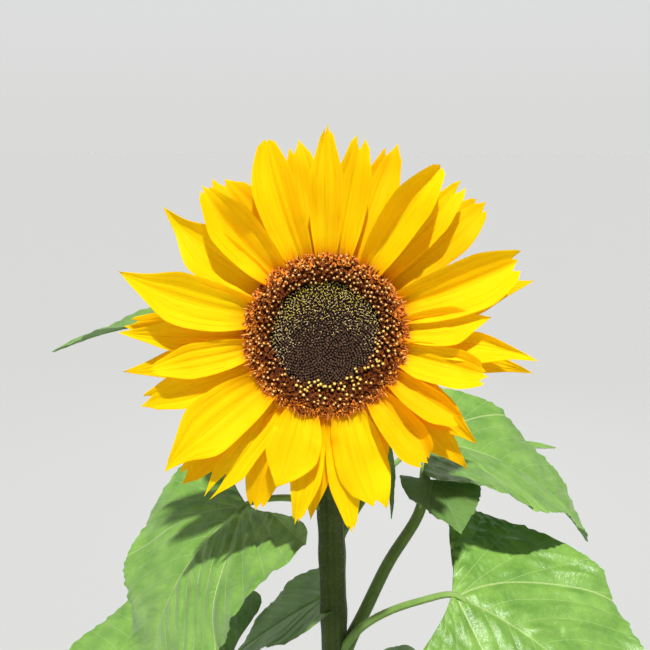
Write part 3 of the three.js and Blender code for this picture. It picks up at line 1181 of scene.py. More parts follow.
def smooth_line(knots: Points, count: int) -> Points:
    """Draws an even centripetal curve through knots.

    Args:
        knots: Rows of points that the curve passes through.
        count: How many points to give.

    Returns:
        Evenly spaced points of the curve.
    """
    ends = np.vstack([2 * knots[0] - knots[1], knots, 2 * knots[-1] - knots[-2]])
    share = np.linspace(0, 1, 60)[:, None]
    pieces = []
    for a, b, c, d in zip(ends, ends[1:], ends[2:], ends[3:]):
        ab, bc, cd = (np.linalg.norm(q - p) ** 0.5 for p, q in ((a, b), (b, c), (c, d)))
        leave = ((b - a) / ab - (c - a) / (ab + bc) + (c - b) / bc) * bc
        reach = ((c - b) / bc - (d - b) / (bc + cd) + (d - c) / cd) * bc
        cubic = (2 * b - 2 * c + leave + reach) * share**3
        square = (-3 * b + 3 * c - 2 * leave - reach) * share**2
        pieces.append(cubic + square + leave * share + b)
    line = np.vstack(pieces)
    travel = np.concatenate([[0], np.cumsum(np.linalg.norm(np.diff(line, axis=0), axis=1))])
    even = np.linspace(0, travel[-1], count)
    return np.stack([np.interp(even, travel, column) for column in line.T], axis=-1)


@dataclass
class SideShoot:
    """The side shoot that rises beside the stem and ends in a small bud."""

    knots: tuple[tuple[float, float, float], ...] = (
        (-9, 7, 972),
        (3, 7, 1012),
        (13, 8, 1035),
        (33, 10, 1083),
        (57, 15, 1126),
        (62, 17, 1158),
    )
    radii: tuple[float, float] = (5.6, 4.0)
    bud: float = 0.93
    ribs: int = 7
    facets: tuple[int, int] = (42, 90)
    foot_swell: float = 0.35
    foot_length: float = 0.1
    scales: int = 5
    scale_start: float = 0.955
    scale_length: float = 13.0
    scale_half: float = 2.4
    scale_grid: tuple[int, int] = (6, 8)
    path: Path = field(init=False)

    def __post_init__(self) -> None:
        """Draws the shoot's line."""
        points = smooth_line(np.array(self.knots, float), 120)
        self.path = Path(points, np.array([0.0, 1.0, 0.0]))

    def radius(self, share: Numbers, angle: Numbers) -> Numbers:
        """Ribs the shoot and closes it to its bud.

        Args:
            share: Shares of the length.
            angle: Angles round it.

        Returns:
            The radius there.
        """
        plain = between(*self.radii, share)
        closing = np.clip((share - self.bud) / (1 - self.bud), 0, 1)
        rib = 0.03 * np.sin(self.ribs * angle) + 0.012 * np.sin(3 * self.ribs * angle)
        foot = self.foot_swell * np.exp(-share / self.foot_length)
        return plain * np.sqrt(1 - 0.85 * closing**2) * (1 + rib + foot)

    def build(self) -> Limb:
        """Makes the shoot's piece.

        Returns:
            The shoot's limb.
        """
        limb = Limb(self.path, self.radius)
        shapes = [limb.solid(*self.facets)]
        shapes += [self.bud_scale(index) for index in range(self.scales)]
        grow_piece(joined(shapes), "side_shoot_ribbed", [SHOOT_SKIN], ["side_shoot"])
        return limb

    def bud_scale(self, index: int) -> Shape:
        """Makes one of the small leaves that close over the bud.

        Args:
            index: Its number from 0.

        Returns:
            The closed scale.
        """
        start, side, over = (row[0] for row in self.path.at(np.array([self.scale_start])))
        turn = math.radians(GOLDEN_ANGLE * index)
        out = side * math.cos(turn) + over * math.sin(turn)
        level = np.cross(UP, out)
        length, half, grid = self.scale_length - index, self.scale_half, self.scale_grid

        def place(x: Numbers, y: Numbers, face: int) -> tuple[Points, Numbers]:
            """Bends the scale over the bud.

            Args:
                x: Places across, -1 to 1.
                y: Places along, 0 to 1.
                face: 1 for the outer face or -1 for the inner.

            Returns:
                As mapped_grid asks.
            """
            width = half * np.sin(math.pi * np.clip(y * 0.9 + 0.1, 0, 1)) ** 0.8
            lean = 3.4 + 1.2 * np.sin(math.pi * y) - 3.0 * y**2 - 0.9 * x**2
            lean = lean + face * 0.25 * edge_fade(x, y, *grid)
            points = start + out * lean[:, None] + UP * (y * length)[:, None]
            return points + level * (x * width)[:, None], np.stack([(x + 1) / 2, y * 0.01], -1)

        shape = blade_solid(*grid, place, 0)
        bmesh.ops.recalc_face_normals(shape, faces=shape.faces)
        return shape


# Leaves


class Host(Enum):
    """What a leaf grows from."""

    STEM = "stem"
    SHOOT = "shoot"


@dataclass(frozen=True)
class LeafGrowth:
    """How one leaf leaves its host and lies. Angles are degrees; headings run from +X to +Y."""

    name: str
    host: Host
    at: float  # height on the stem, or share of the shoot
    azimuth: tuple[float, float]
    stalk: float
    rise: tuple[float, float]
    heading: float
    pitch: float
    droop: float
    length: float
    width: float
    roll: float
    fold: float
    curl: float
    wave: float = 0.02  # ripple of the margin, as a share of the width
    quilt: float = 1.6  # height of the bulges between its side veins, in millimetres


PLACED_LEAVES = (
    LeafGrowth(
        "leaf_left_front", Host.STEM, 1134, (194, 194), 69, (42, -15),
        212, -21, 71, 160, 158, 1, 3, 8, 0.03, 4.2,
    ),
    LeafGrowth(
        "leaf_left_low", Host.STEM, 960, (192, 186), 98, (40, 20),
        180, 16, 62, 176, 136, -4, 8, -4,
    ),
    LeafGrowth(
        "leaf_left_shaded", Host.STEM, 1042, (70, 120), 30, (16, -30),
        178, -31, 14, 108, 86, 4, 8, 0,
    ),
    LeafGrowth(
        "leaf_right_front", Host.STEM, 978, (-50, -5), 151, (82, 14),
        -14, -16, 38, 201, 190, 18, -2, -24, 0.035, 7.0,
    ),
    LeafGrowth(
        "leaf_left_arching", Host.STEM, 1224, (150, 176), 96, (58, 24),
        176, 0, 26, 148, 62, 2, 9, -4,
    ),
    LeafGrowth(
        "leaf_right_narrow", Host.STEM, 1096, (54, 46), 124, (40, 8),
        18, -6, 4, 150, 54, 2, 14, 0,
    ),
    LeafGrowth(
        "leaf_small_hanging", Host.STEM, 1205, (-8, -22), 45, (24, -40),
        -37, -75, 14, 62, 13, 0, 12, 0,
    ),
    LeafGrowth(
        "shoot_leaf_outer", Host.SHOOT, 0.88, (84, 70), 51.5, (86, 26.5),
        6, -9, 52, 181, 126, 12, 10, -2, 0.02, 3.8,
    ),
    LeafGrowth(
        "shoot_leaf_inner", Host.SHOOT, 0.84, (-86, -62), 46, (69, 50),
        -69, -16, 25, 46, 60, -8, 8, 0,
    ),
)


@dataclass(frozen=True)
class LowerLeaves:
    """The leaves below the placed ones: by the golden angle, larger in the middle, limper below."""

    count: int = 8
    top: float = 905.0
    step: float = 96.0
    azimuth: float = 262.0
    turn: float = 137.5
    length: tuple[float, float, float] = (205.0, 35.0, 45.0)  # top, swell, fall
    stalk: tuple[float, float] = (104.0, 14.0)
    width: float = 0.84
    spread: float = 8.0

    def growth(self, index: int) -> LeafGrowth:
        """Works out how one leaf lies.

        Args:
            index: Its number from the top, from 0.

        Returns:
            Its growth.
        """
        share = index / (self.count - 1)
        swell = math.sin(math.pi * share)
        azimuth = self.azimuth + self.turn * index
        length = self.length[0] + self.length[1] * swell - self.length[2] * share
        return LeafGrowth(
            name=f"leaf_lower_{index + 1:02d}",
            host=Host.STEM,
            at=self.top - self.step * index,
            azimuth=(azimuth, azimuth),
            stalk=self.stalk[0] + self.stalk[1] * swell,
            rise=(44, between(10, -4, share)),
            heading=azimuth + self.spread * math.sin(2.1 * index),
            pitch=between(-12, -24, share),
            droop=between(34, 40, share),
            length=length,
            width=length * self.width,
            roll=self.spread * math.sin(1.7 * index),
            fold=8,
            curl=self.spread * math.cos(1.3 * index),
        )


class Midrib:
    """A leaf's midrib: it turns and droops evenly, and runs straight behind its root."""

    steps = 40

    def __init__(self, root: Points, growth: LeafGrowth) -> None:
        """Walks along the midrib from its root.

        Args:
            root: Where the blade starts.
            growth: How the leaf lies.
        """
        self.growth = growth
        middles = (np.arange(self.steps) + 0.5) / self.steps
        along, _, _ = self.frame(middles)
        walk = np.cumsum(along * growth.length / self.steps, axis=0)
        self.points = np.vstack([root, root + walk])

    def frame(self, share: Numbers) -> tuple[Points, Points, Points]:
        """Works out the blade's directions.

        Args:
            share: Shares of its length.

        Returns:
            Rows of directions along, across and out of its upper face.
        """
        grown = self.growth
        heading = np.radians(grown.heading + grown.curl * share)
        pitch = np.radians(grown.pitch - grown.droop * share)
        return blade_frame(heading, pitch, math.radians(grown.roll))

    def at(self, share: Numbers) -> tuple[Points, Points, Points]:
        """Finds places on the midrib.

        Args:
            share: Shares of its length, negative behind its root.

        Returns:
            Rows of points, directions across and directions out of the upper face.
        """
        held = np.clip(share, 0, 1)
        along, across, out = self.frame(held)
        behind = (np.minimum(share, 0) * self.growth.length)[:, None]
        return at_places(self.points, held * self.steps) + along * behind, across, out


@dataclass(frozen=True)
class LeafForm:
    """Outline and relief that all leaves share. Lengths in shares are of the leaf's length."""

    lobe: float = 0.22
    least: float = 0.024
    spacing: float = 1.18  # power by which rows crowd at the root
    thickness: float = 0.55
    teeth_rows: int = 7  # rows of the grid in each tooth
    tooth: float = 1.3
    cushion: float = 0.006  # height of the lamina between veins
    cushion_width: float = 0.036
    pucker: float = 0.14  # height of the small bulges, in millimetres
    pucker_size: float = 8.0
    quilt_size: float = 11.5
    quilt_stretch: float = 0.45  # below 1, the quilting is longer along the side veins
    plain_width: float = 90.0  # leaves narrower than this have less relief
    ridge: float = 1.1  # height of the main veins under the leaf
    side_ridge: float = 0.4
    shaded_length: float = 70.0  # leaves shorter than this take the darker face: painted shade, as they lie in the head's shadow

    def half_width(self, share: Numbers) -> Numbers:
        """Half-width of the outline as a share of its widest, from the notch to the tip."""
        swell = np.clip(np.sin(math.pi * share**0.66), 0, 1) ** 0.85
        return np.maximum(swell * (1 - 0.28 * share**3) / 0.93, self.least)

    def setback(self, share: Numbers) -> Numbers:
        """How far the base lobes reach back."""
        return self.lobe * np.sin(math.pi * np.minimum(share / 0.42, 1))


LEAF_FORM = LeafForm()


@dataclass
class Leaf:
    """One leaf: its stalk, its blade, and the midrib that the stalk runs on as."""

    growth: LeafGrowth
    start: Points  # where its line leaves the host's
    clear: float  # length of its line inside the host
    grid: tuple[int, int]
    seed: int
    form: LeafForm = LEAF_FORM
    stalk_steps: int = 6
    stalk_facets: tuple[int, int] = (18, 120)
    rib_end: float = 0.93  # where the midrib stops, as a share of the length
    stalk_line: Points = field(init=False)
    rib: Midrib = field(init=False)

    def __post_init__(self) -> None:
        """Draws the stalk's line and the midrib."""
        steps = self.stalk_steps
        share = (np.arange(steps) + 0.5) / steps
        grown = self.growth
        azimuth = np.radians(between(*grown.azimuth, share))
        rise = np.radians(between(*grown.rise, share))
        along, _, _ = blade_frame(azimuth, rise, 0.0)
        walk = np.cumsum(along * grown.stalk / steps, axis=0)
        knots = np.vstack([self.start, self.start + walk])
        self.rib = Midrib(knots[-1], grown)
        ahead, _, _ = self.rib.at(np.array([0.05]))
        self.stalk_line = smooth_line(np.vstack([knots, ahead]), 120)

    def ripple(self, x: Numbers, y: Numbers) -> Numbers:
        """Works out the margin's ripple.

        Args:
            x: Places across, -1 to 1.
            y: Places along, 0 to 1.

        Returns:
            Heights in millimetres.
        """
        grown = self.growth
        turn = math.tau * 3.1 * y + self.seed * 1.7 + 2.1 * (x > 0)
        slow = math.tau * 1.2 * y + self.seed * 0.9 + 1.3 * (x > 0)
        reach = grown.wave * grown.width * np.clip(self.form.half_width(y) * 2.5, 0, 1)
        return reach * np.abs(x) ** 3 * (np.sin(turn) + 0.8 * np.sin(slow))

    def bulges(self, flat: Points, size: float) -> Numbers:
        """Works out the bulges between finer veins.

        Args:
            flat: Rows of places on the blade, in millimetres.
            size: About how wide a bulge is.

        Returns:
            Heights from 0 to 1.
        """
        heights = []
        for x, y in flat.tolist():
            spot = Vector((x / size, y / size, self.seed * 3.7))
            near, _ = noise.voronoi(spot)
            round_top = 1 - math.exp(-1.7 * (near[1] - near[0]))
            swell = 0.5 + 0.5 * noise.noise(spot * 1.3)
            heights.append(round_top * (0.35 + 0.9 * swell))
        return np.array(heights)

    def place(self, x: Numbers, y: Numbers, face: int) -> tuple[Points, Numbers]:
        """Lays out the blade's grid.

        Args:
            x: Places across, -1 to 1.
            y: Places along, 0 to 1.
            face: 1 for the upper face or -1 for the lower.

        Returns:
            As mapped_grid asks.
        """
        grown, form = self.growth, self.form
        out_share = np.abs(x)
        along = y**form.spacing - out_share * form.setback(y)
        row = np.round(y * self.grid[1]).astype(int)
        saw = (row % form.teeth_rows) / (form.teeth_rows - 1)
        teeth = saw * eased(0.04, 0.1, y) * (1 - eased(0.86, 0.97, y)) * out_share**24
        fine = min(grown.width / form.plain_width, 1.0)
        depth = form.tooth * fine * (0.8 + 0.4 * np.sin(row // form.teeth_rows * 2.3 + self.seed))
        depth = depth * np.clip(grown.width / 2 * form.half_width(y) / 12 - 0.3, 0, 1)
        half = out_share * grown.width / 2 * form.half_width(y) + teeth * depth
        along = along + teeth * depth * 0.5 / grown.length
        point, across, out = self.rib.at(along)
        x_share = -np.sign(x) * half / grown.length
        main, side = VEINS.distances(x_share, along, ArrayMaths)
        flat = np.stack([x_share * grown.length, along * grown.length], axis=-1)
        level = along - np.abs(x_share) * (VEINS.rise + VEINS.sweep * np.abs(x_share))
        veined = np.stack([x_share * form.quilt_stretch, level], axis=-1) * grown.length
        clear = (1 - mound(side, form.cushion_width)) * (1 - mound(main, form.cushion_width))
        lift = form.cushion * grown.length * clear * (1 - 0.5 * out_share**6)
        bulge = form.pucker * self.bulges(flat, form.pucker_size)
        bulge = bulge + grown.quilt * self.bulges(veined, form.quilt_size)
        lift = lift + fine * bulge * (1 - mound(main, 0.014)) * (1 - 0.6 * mound(side, 0.01))
        lift = lift + self.ripple(x, y) - 0.8 * fine * mound(main, 0.012)
        lift = lift * eased(1.0, 0.9, y)
        inside = edge_fade(x, y, *self.grid)
        if face > 0:
            lift = lift + 0.5 * form.thickness * inside
        else:
            ridge = form.ridge * mound(main, 0.009) + form.side_ridge * mound(side, 0.007)
            ridge = ridge * fine
            lift = lift - (0.5 * form.thickness + ridge * eased(1.0, 0.9, out_share)) * inside
        fold = math.radians(grown.fold)
        spread = across * (-np.sign(x) * half * math.cos(fold))[:, None]
        points = point + spread + out * (half * math.sin(fold) + lift)[:, None]
        return points, np.stack([x_share + 0.5, along], axis=-1)

    def stalk(self) -> Limb:
        """Works out the stalk, which runs on under the blade as its midrib.

        Returns:
            The stalk's limb.
        """
        thick = 0.5 + 0.0165 * self.growth.length
        under = np.linspace(0.06, self.rib_end, 70)
        point, _, out = self.rib.at(under)
        below = point - out * (0.6 + thick * 0.5 * (1 - under))[:, None]
        length = self.growth.stalk + self.growth.length * self.rib_end
        line = np.vstack([self.stalk_line, below])
        travel = np.linalg.norm(np.diff(line, axis=0), axis=1).cumsum()
        travel = np.concatenate([[0], travel])
        even = np.linspace(self.clear, travel[-1], 170)
        points = np.stack([np.interp(even, travel, column) for column in line.T], axis=-1)
        first = blade_frame(np.radians(self.growth.azimuth[0]), np.zeros(1), 0.0)[1][0]
        stalk_share = self.growth.stalk / length

        def radius(share: Numbers, angle: Numbers) -> Numbers:
            """Thickens the foot, channels the top and thins towards the leaf's tip.

            Args:
                share: Shares of the length.
                angle: Angles round it.

            Returns:
                The radius there.
            """
            stalk = np.clip(share / stalk_share, 0, 1)
            rib = np.clip((share - stalk_share) / (1 - stalk_share), 0, 1)
            plain = between(thick, thick * 0.66, stalk) * between(1.0, 0.14, rib**0.7)
            foot = 1 + 0.75 * np.exp(-share * length / 7.0)
            channel = 0.16 * mound(angle - math.pi / 2, 0.5) * (1 - rib)
            return plain * foot * (1 - channel + 0.03 * np.sin(5 * angle))

        return Limb(Path(points, first), radius)

    def build(self) -> Limb:
        """Makes the leaf's piece.

        Returns:
            Its stalk.
        """
        stalk = self.stalk()
        blade = blade_solid(*self.grid, self.place)
        # small leaves take the face with painted shade
        face = LEAF_SHADED if self.growth.length < self.form.shaded_length else LEAF_FACE
        finishes = [face, LEAF_BACK, STALK_SKIN]
        whole = joined([blade, stalk.solid(*self.stalk_facets, 2)])
        grow_piece(whole, f"{self.growth.name}_veined", finishes, [self.growth.name])
        return stalk


@dataclass
class Foliage:
    """All the leaves of the plant, each on the line of its host."""

    shoot: SideShoot
    line: StemLine = STEM_LINE
    placed_grid: tuple[int, int] = (72, 150)
    lower_grid: tuple[int, int] = (52, 110)
    small_grid: tuple[int, int] = (28, 80)
    small: float = 100.0  # leaves shorter than this take the small grid
    sunk: float = 3.5  # how deep in the stem a stalk starts
    shoot_clear: float = 1.0  # how far from the shoot's line one starts

    def growths(self) -> list[LeafGrowth]:
        """How every leaf lies."""
        lower = LowerLeaves()
        return [*PLACED_LEAVES, *(lower.growth(index) for index in range(lower.count))]

    def heights(self) -> tuple[float, ...]:
        """Heights at which leaves leave the main stem."""
        return tuple(grown.at for grown in self.growths() if grown.host is Host.STEM)

    def build(self) -> list[Limb]:
        """Makes all the leaves.

        Returns:
            Their stalks.
        """
        stalks = []
        for seed, grown in enumerate(self.growths()):
            if grown.host is Host.STEM:
                start = self.line.point(grown.at)[0]
                clear = float(self.line.radius(grown.at)) - self.sunk
            else:
                start = self.shoot.path.at(np.array([grown.at]))[0][0]
                clear = self.shoot_clear
            grid = self.lower_grid if grown.name.startswith("leaf_lower") else self.placed_grid
            if grown.length < self.small:
                grid = self.small_grid
            stalks.append(Leaf(grown, start, clear, grid, seed).build())
        return stalks


# The head


@dataclass(frozen=True)
class Head:
    """The head's own frame: x to the right as seen from the front, y up its face, z out of it."""

    line: StemLine = STEM_LINE
    disc_radius: float = 33.0

    def matrix(self) -> Matrix:
        """Works out how the head stands.

        Returns:
            The matrix from the head's frame to the plant's.
        """
        axis = Vector(self.line.head_axis)
        right = Vector((1, 0, 0))
        frame_rows = Matrix((right, axis.cross(right), axis)).transposed().to_4x4()
        frame_rows.translation = Vector(self.line.head_centre)
        return frame_rows

    def lay(self, bm: Shape) -> Shape:
        """Moves a shape from the head's frame to the plant's."""
        bmesh.ops.transform(bm, matrix=self.matrix(), verts=bm.verts)
        return bm


HEAD = Head()


def clock_point(clock: Numbers, radius: Numbers, height: Numbers) -> Points:
    """Points in the head's frame, from angles in radians clockwise from the top."""
    return np.stack([np.sin(clock) * radius, np.cos(clock) * radius, height], axis=-1)


def turned(outline: Sequence[tuple[float, float]], steps: int) -> Shape:
    """Turns an outline of radii and heights round the head's axis.

    Args:
        outline: Radius and height of each corner, from the back round to the front.
        steps: Facets round the axis.

    Returns:
        The closed shape in the head's frame.
    """
    bm = bmesh.new()
    corners = [bm.verts.new((radius, 0, height)) for radius, height in outline]
    edges = [bm.edges.new(pair) for pair in zip(corners, corners[1:])]
    bmesh.ops.spin(
        bm,
        geom=corners + edges,
        cent=(0, 0, 0),
        axis=(0, 0, 1),
        angle=math.tau,
        steps=steps,
        use_merge=True,
    )
    bmesh.ops.remove_doubles(bm, verts=bm.verts, dist=0.01)
    bmesh.ops.recalc_face_normals(bm, faces=bm.faces)
    for face in bm.faces:
        face.smooth = True
    return bm


def spiral(first: int, last: int, step: float) -> tuple[Numbers, Numbers]:
    """Clock angles and radii of seeds first to last on a golden spiral."""
    index = np.arange(first, last)
    return np.radians(index * GOLDEN_ANGLE), step * np.sqrt(index)


class Tip(Enum):
    """How a ray floret ends: places of its teeth across it and how far each falls short."""

    POINTED = ((0.0, 0.0),)
    NOTCHED = ((-0.6, 0.035), (0.1, 0.0), (0.75, 0.05))
    TWIN = ((-0.62, 0.0), (0.58, 0.02))
    SPLIT = ((-0.45, 0.01), (0.5, 0.0))
    LEFT_TOOTH = ((-0.85, 0.07), (0.25, 0.0))
    RIGHT_TOOTH = ((-0.3, 0.0), (0.8, 0.06))
    TRIPLE = ((-0.75, 0.05), (0.0, 0.0), (0.7, 0.04))
    STEPPED = ((-0.8, 0.0), (-0.05, 0.035), (0.7, 0.06))
    HOOKED = ((-0.8, 0.0), (0.25, 0.06))
    BLUNT = ((-0.3, 0.0), (0.4, 0.01))
    RAGGED = ((-0.8, 0.1), (-0.35, 0.03), (0.15, 0.0), (0.5, 0.07), (0.85, 0.04))

    @property
    def squeeze(self) -> float:
        """How far along the plain outline the floret ends."""
        whole = {Tip.POINTED: 1.0, Tip.BLUNT: 0.9, Tip.NOTCHED: 0.94, Tip.TWIN: 0.86}
        return whole.get(self, 0.88)

    @property
    def slope(self) -> float:
        """How deep the notches between its teeth cut."""
        depths = {Tip.POINTED: 0.0, Tip.BLUNT: 0.06, Tip.RAGGED: 0.22, Tip.SPLIT: 0.55}
        return depths.get(self, 0.17)

    def shortfall(self, x: Numbers) -> Numbers:
        """Works out the teeth of the tip.

        Args:
            x: Places across, -1 to 1.

        Returns:
            How far each falls short, as a share of the length.
        """
        if self is Tip.POINTED:
            return np.zeros_like(x)
        teeth = [short + self.slope * np.abs(x - at) for at, short in self.value]
        return np.min(teeth, axis=0)


def petal_profile(share: Numbers) -> Numbers:
    """Gives the outline of a ray floret or a bract.

    Args:
        share: Shares of its length from the root.

    Returns:
        Its half-width, as a share of its widest.
    """
    widest = 0.55
    rest = np.clip((share - widest) / (1 - widest), 0, 1)
    rising = 0.56 + 0.44 * np.sin(math.pi / 2 * np.clip(share / widest, 0, 1))
    falling = np.maximum((1 - rest**1.5) ** 1.1, 0.012)
    return np.where(share < widest, rising, falling)


@dataclass(frozen=True)
class HeadBlade:
    """A thin blade that starts on the head at a clock angle and grows outwards, in its frame."""

    clock: float
    root: float
    height: float
    reach: float
    width: float
    rise: tuple[float, float]
    thickness: float
    grid: tuple[int, int]
    tip: Tip = Tip.POINTED
    cup: float = -0.12  # how far the edges stand forward, as a share of the half-width
    fold: float = 0.0  # as cup, but creased along a line
    crease: float = 0.0  # where that line is, from -1 to 1
    nod: float = 0.0  # how far the tip bends forward, as a share of the length
    twist: float = 0.0  # degrees by which the tip is turned
    bow: float = 0.0  # sideways bulge as a share of the length
    hook: float = 0.0  # how far the tip bends sideways, as a share of the length
    drawn: float = 0.0  # how much slimmer its outer third is than the plain outline
    foot: float = 0.0  # how much wider its inner third is than the plain outline
    wave: float = 0.0  # ripple along the blade, in millimetres
    phase: float = 0.0
    grooves: tuple[float, ...] = ()
    groove_depth: float = 0.75

    def place(self, x: Numbers, y: Numbers, face: int) -> tuple[Points, Numbers]:
        """Lays out the blade's grid, in the head's frame.

        Args:
            x: Places across, -1 to 1.
            y: Places along, 0 to 1.
            face: 1 for the front face or -1 for the back.

        Returns:
            As mapped_grid asks.
        """
        share = y * (1 - self.tip.shortfall(x))
        half = self.width / 2 * petal_profile(share * self.tip.squeeze)
        half = half * (1 - self.drawn * mound(share - 0.84, 0.17))
        half = half * (1 + self.foot * mound(share - 0.14, 0.24))
        length = (self.reach - self.root) / math.cos(math.radians(sum(self.rise) / 2))
        climb = np.radians(self.rise[0] + (self.rise[1] - self.rise[0]) * share * 0.5)
        channel = 0.55 * np.clip(1 - share / 0.3, 0, 1)
        lift = self.height + length * share * np.sin(climb)
        lift = lift + (self.cup + channel) * half * x**2
        off_crease = np.sqrt((x - self.crease) ** 2 + 0.003) - np.abs(self.crease)
        lift = lift + self.fold * half * off_crease * np.clip(share * 3, 0, 1)
        lift = lift + self.nod * length * share**3
        ripple = self.wave * share * np.sin(math.tau * (1.4 * share + self.phase))
        edges = 0.8 * self.wave * share * x * np.sin(math.tau * (2.1 * share - self.phase))
        cut = sum(mound(x - groove, 0.08) for groove in self.grooves) if self.grooves else 0.0
        fading = np.clip(share * 6, 0, 1) * (1 - share**3)
        lift = lift + ripple + edges - self.groove_depth * cut * fading
        lift = lift + face * 0.5 * self.thickness * edge_fade(x, y, *self.grid)
        twist = np.radians(self.twist) * share
        side = half * x * np.cos(twist) + self.bow * length * 4 * share * (1 - share)
        side = side + self.hook * length * share**4
        angle = math.radians(self.clock)
        radius = self.root + length * share * np.cos(climb)
        points = clock_point(np.full_like(x, angle), radius, lift + half * x * np.sin(twist))
        right = np.array([math.cos(angle), -math.sin(angle), 0.0])
        return points + right * side[:, None], np.stack([(x + 1) / 2, share], axis=-1)

    def solid(self) -> Shape:
        """Makes the closed blade in the head's frame."""
        return blade_solid(*self.grid, self.place, 0)


@dataclass(frozen=True)
class Petal:
    """One ray floret: clock angle from the top, reach, width, tier from the front, and tip.

    What is left open is drawn at random. Bow and hook are to the clockwise side.
    """

    clock: float
    reach: float
    width: float
    tier: int
    tip: Tip = Tip.POINTED
    cup: float | None = None
    twist: float | None = None
    bow: float | None = None
    hook: float | None = None
    drawn: float = 0.12
    foot: float = 0.08
    fold: float | None = None
    warm: bool = False  # whether it is deeper in colour


@dataclass
class Corona:
    """The ray florets in three tiers."""

    petals: tuple[Petal, ...]
    head: Head = HEAD
    root: float = 46.2
    heights: tuple[float, float, float] = (-1.0, -4.2, -7.4)
    rises: tuple[tuple[float, float], ...] = ((15, 5), (8, 0), (1, -7))
    thickness: float = 0.5
    grid: tuple[int, int] = (26, 48)
    cup: tuple[float, float] = (0.06, 0.24)  # middle and swing, where the petal leaves it open
    fold: tuple[float, float] = (0.2, 0.4)
    wave: tuple[float, float] = (1.3, 0.8)
    crease: float = 0.35
    nod: float = 0.04
    hook: float = 0.045
    bow: float = 0.022
    twist: float = 15.0
    grooves: tuple[float, ...] = (-0.52, -0.05, 0.46)
    groove_swing: float = 0.08

    def build(self) -> None:
        """Makes a piece for each ray floret."""
        draw = np.random.default_rng(SEED)
        for index, petal in enumerate(self.petals):
            twist, bow, wave, phase, cup, fold, crease, nod, hook = swings(draw, 9)
            shifts = draw.uniform(-self.groove_swing, self.groove_swing, 3)
            blade = HeadBlade(
                clock=petal.clock,
                root=self.root,
                height=self.heights[petal.tier],
                reach=petal.reach,
                width=petal.width,
                rise=self.rises[petal.tier],
                thickness=self.thickness,
                grid=self.grid,
                tip=petal.tip,
                cup=self.cup[0] + self.cup[1] * cup if petal.cup is None else petal.cup,
                fold=self.fold[0] + self.fold[1] * fold if petal.fold is None else petal.fold,
                crease=self.crease * crease,
                nod=self.nod * nod,
                hook=self.hook * hook if petal.hook is None else petal.hook,
                drawn=petal.drawn,
                foot=petal.foot,
                twist=self.twist * twist if petal.twist is None else petal.twist,
                bow=self.bow * bow if petal.bow is None else petal.bow,
                wave=self.wave[0] + self.wave[1] * wave,
                phase=phase,
                grooves=tuple(np.array(self.grooves) + shifts),
            )
            # the back tier takes the finish with painted shade
            finish = PETAL if petal.tier < 2 else PETAL_SHADED_BEHIND
            finish = PETAL_WARM if petal.warm else finish
            name = f"petal_{index + 1:02d}"
            node = f"ray_floret_{index + 1:02d}"
            grow_piece(self.head.lay(blade.solid()), name, [finish], [node])


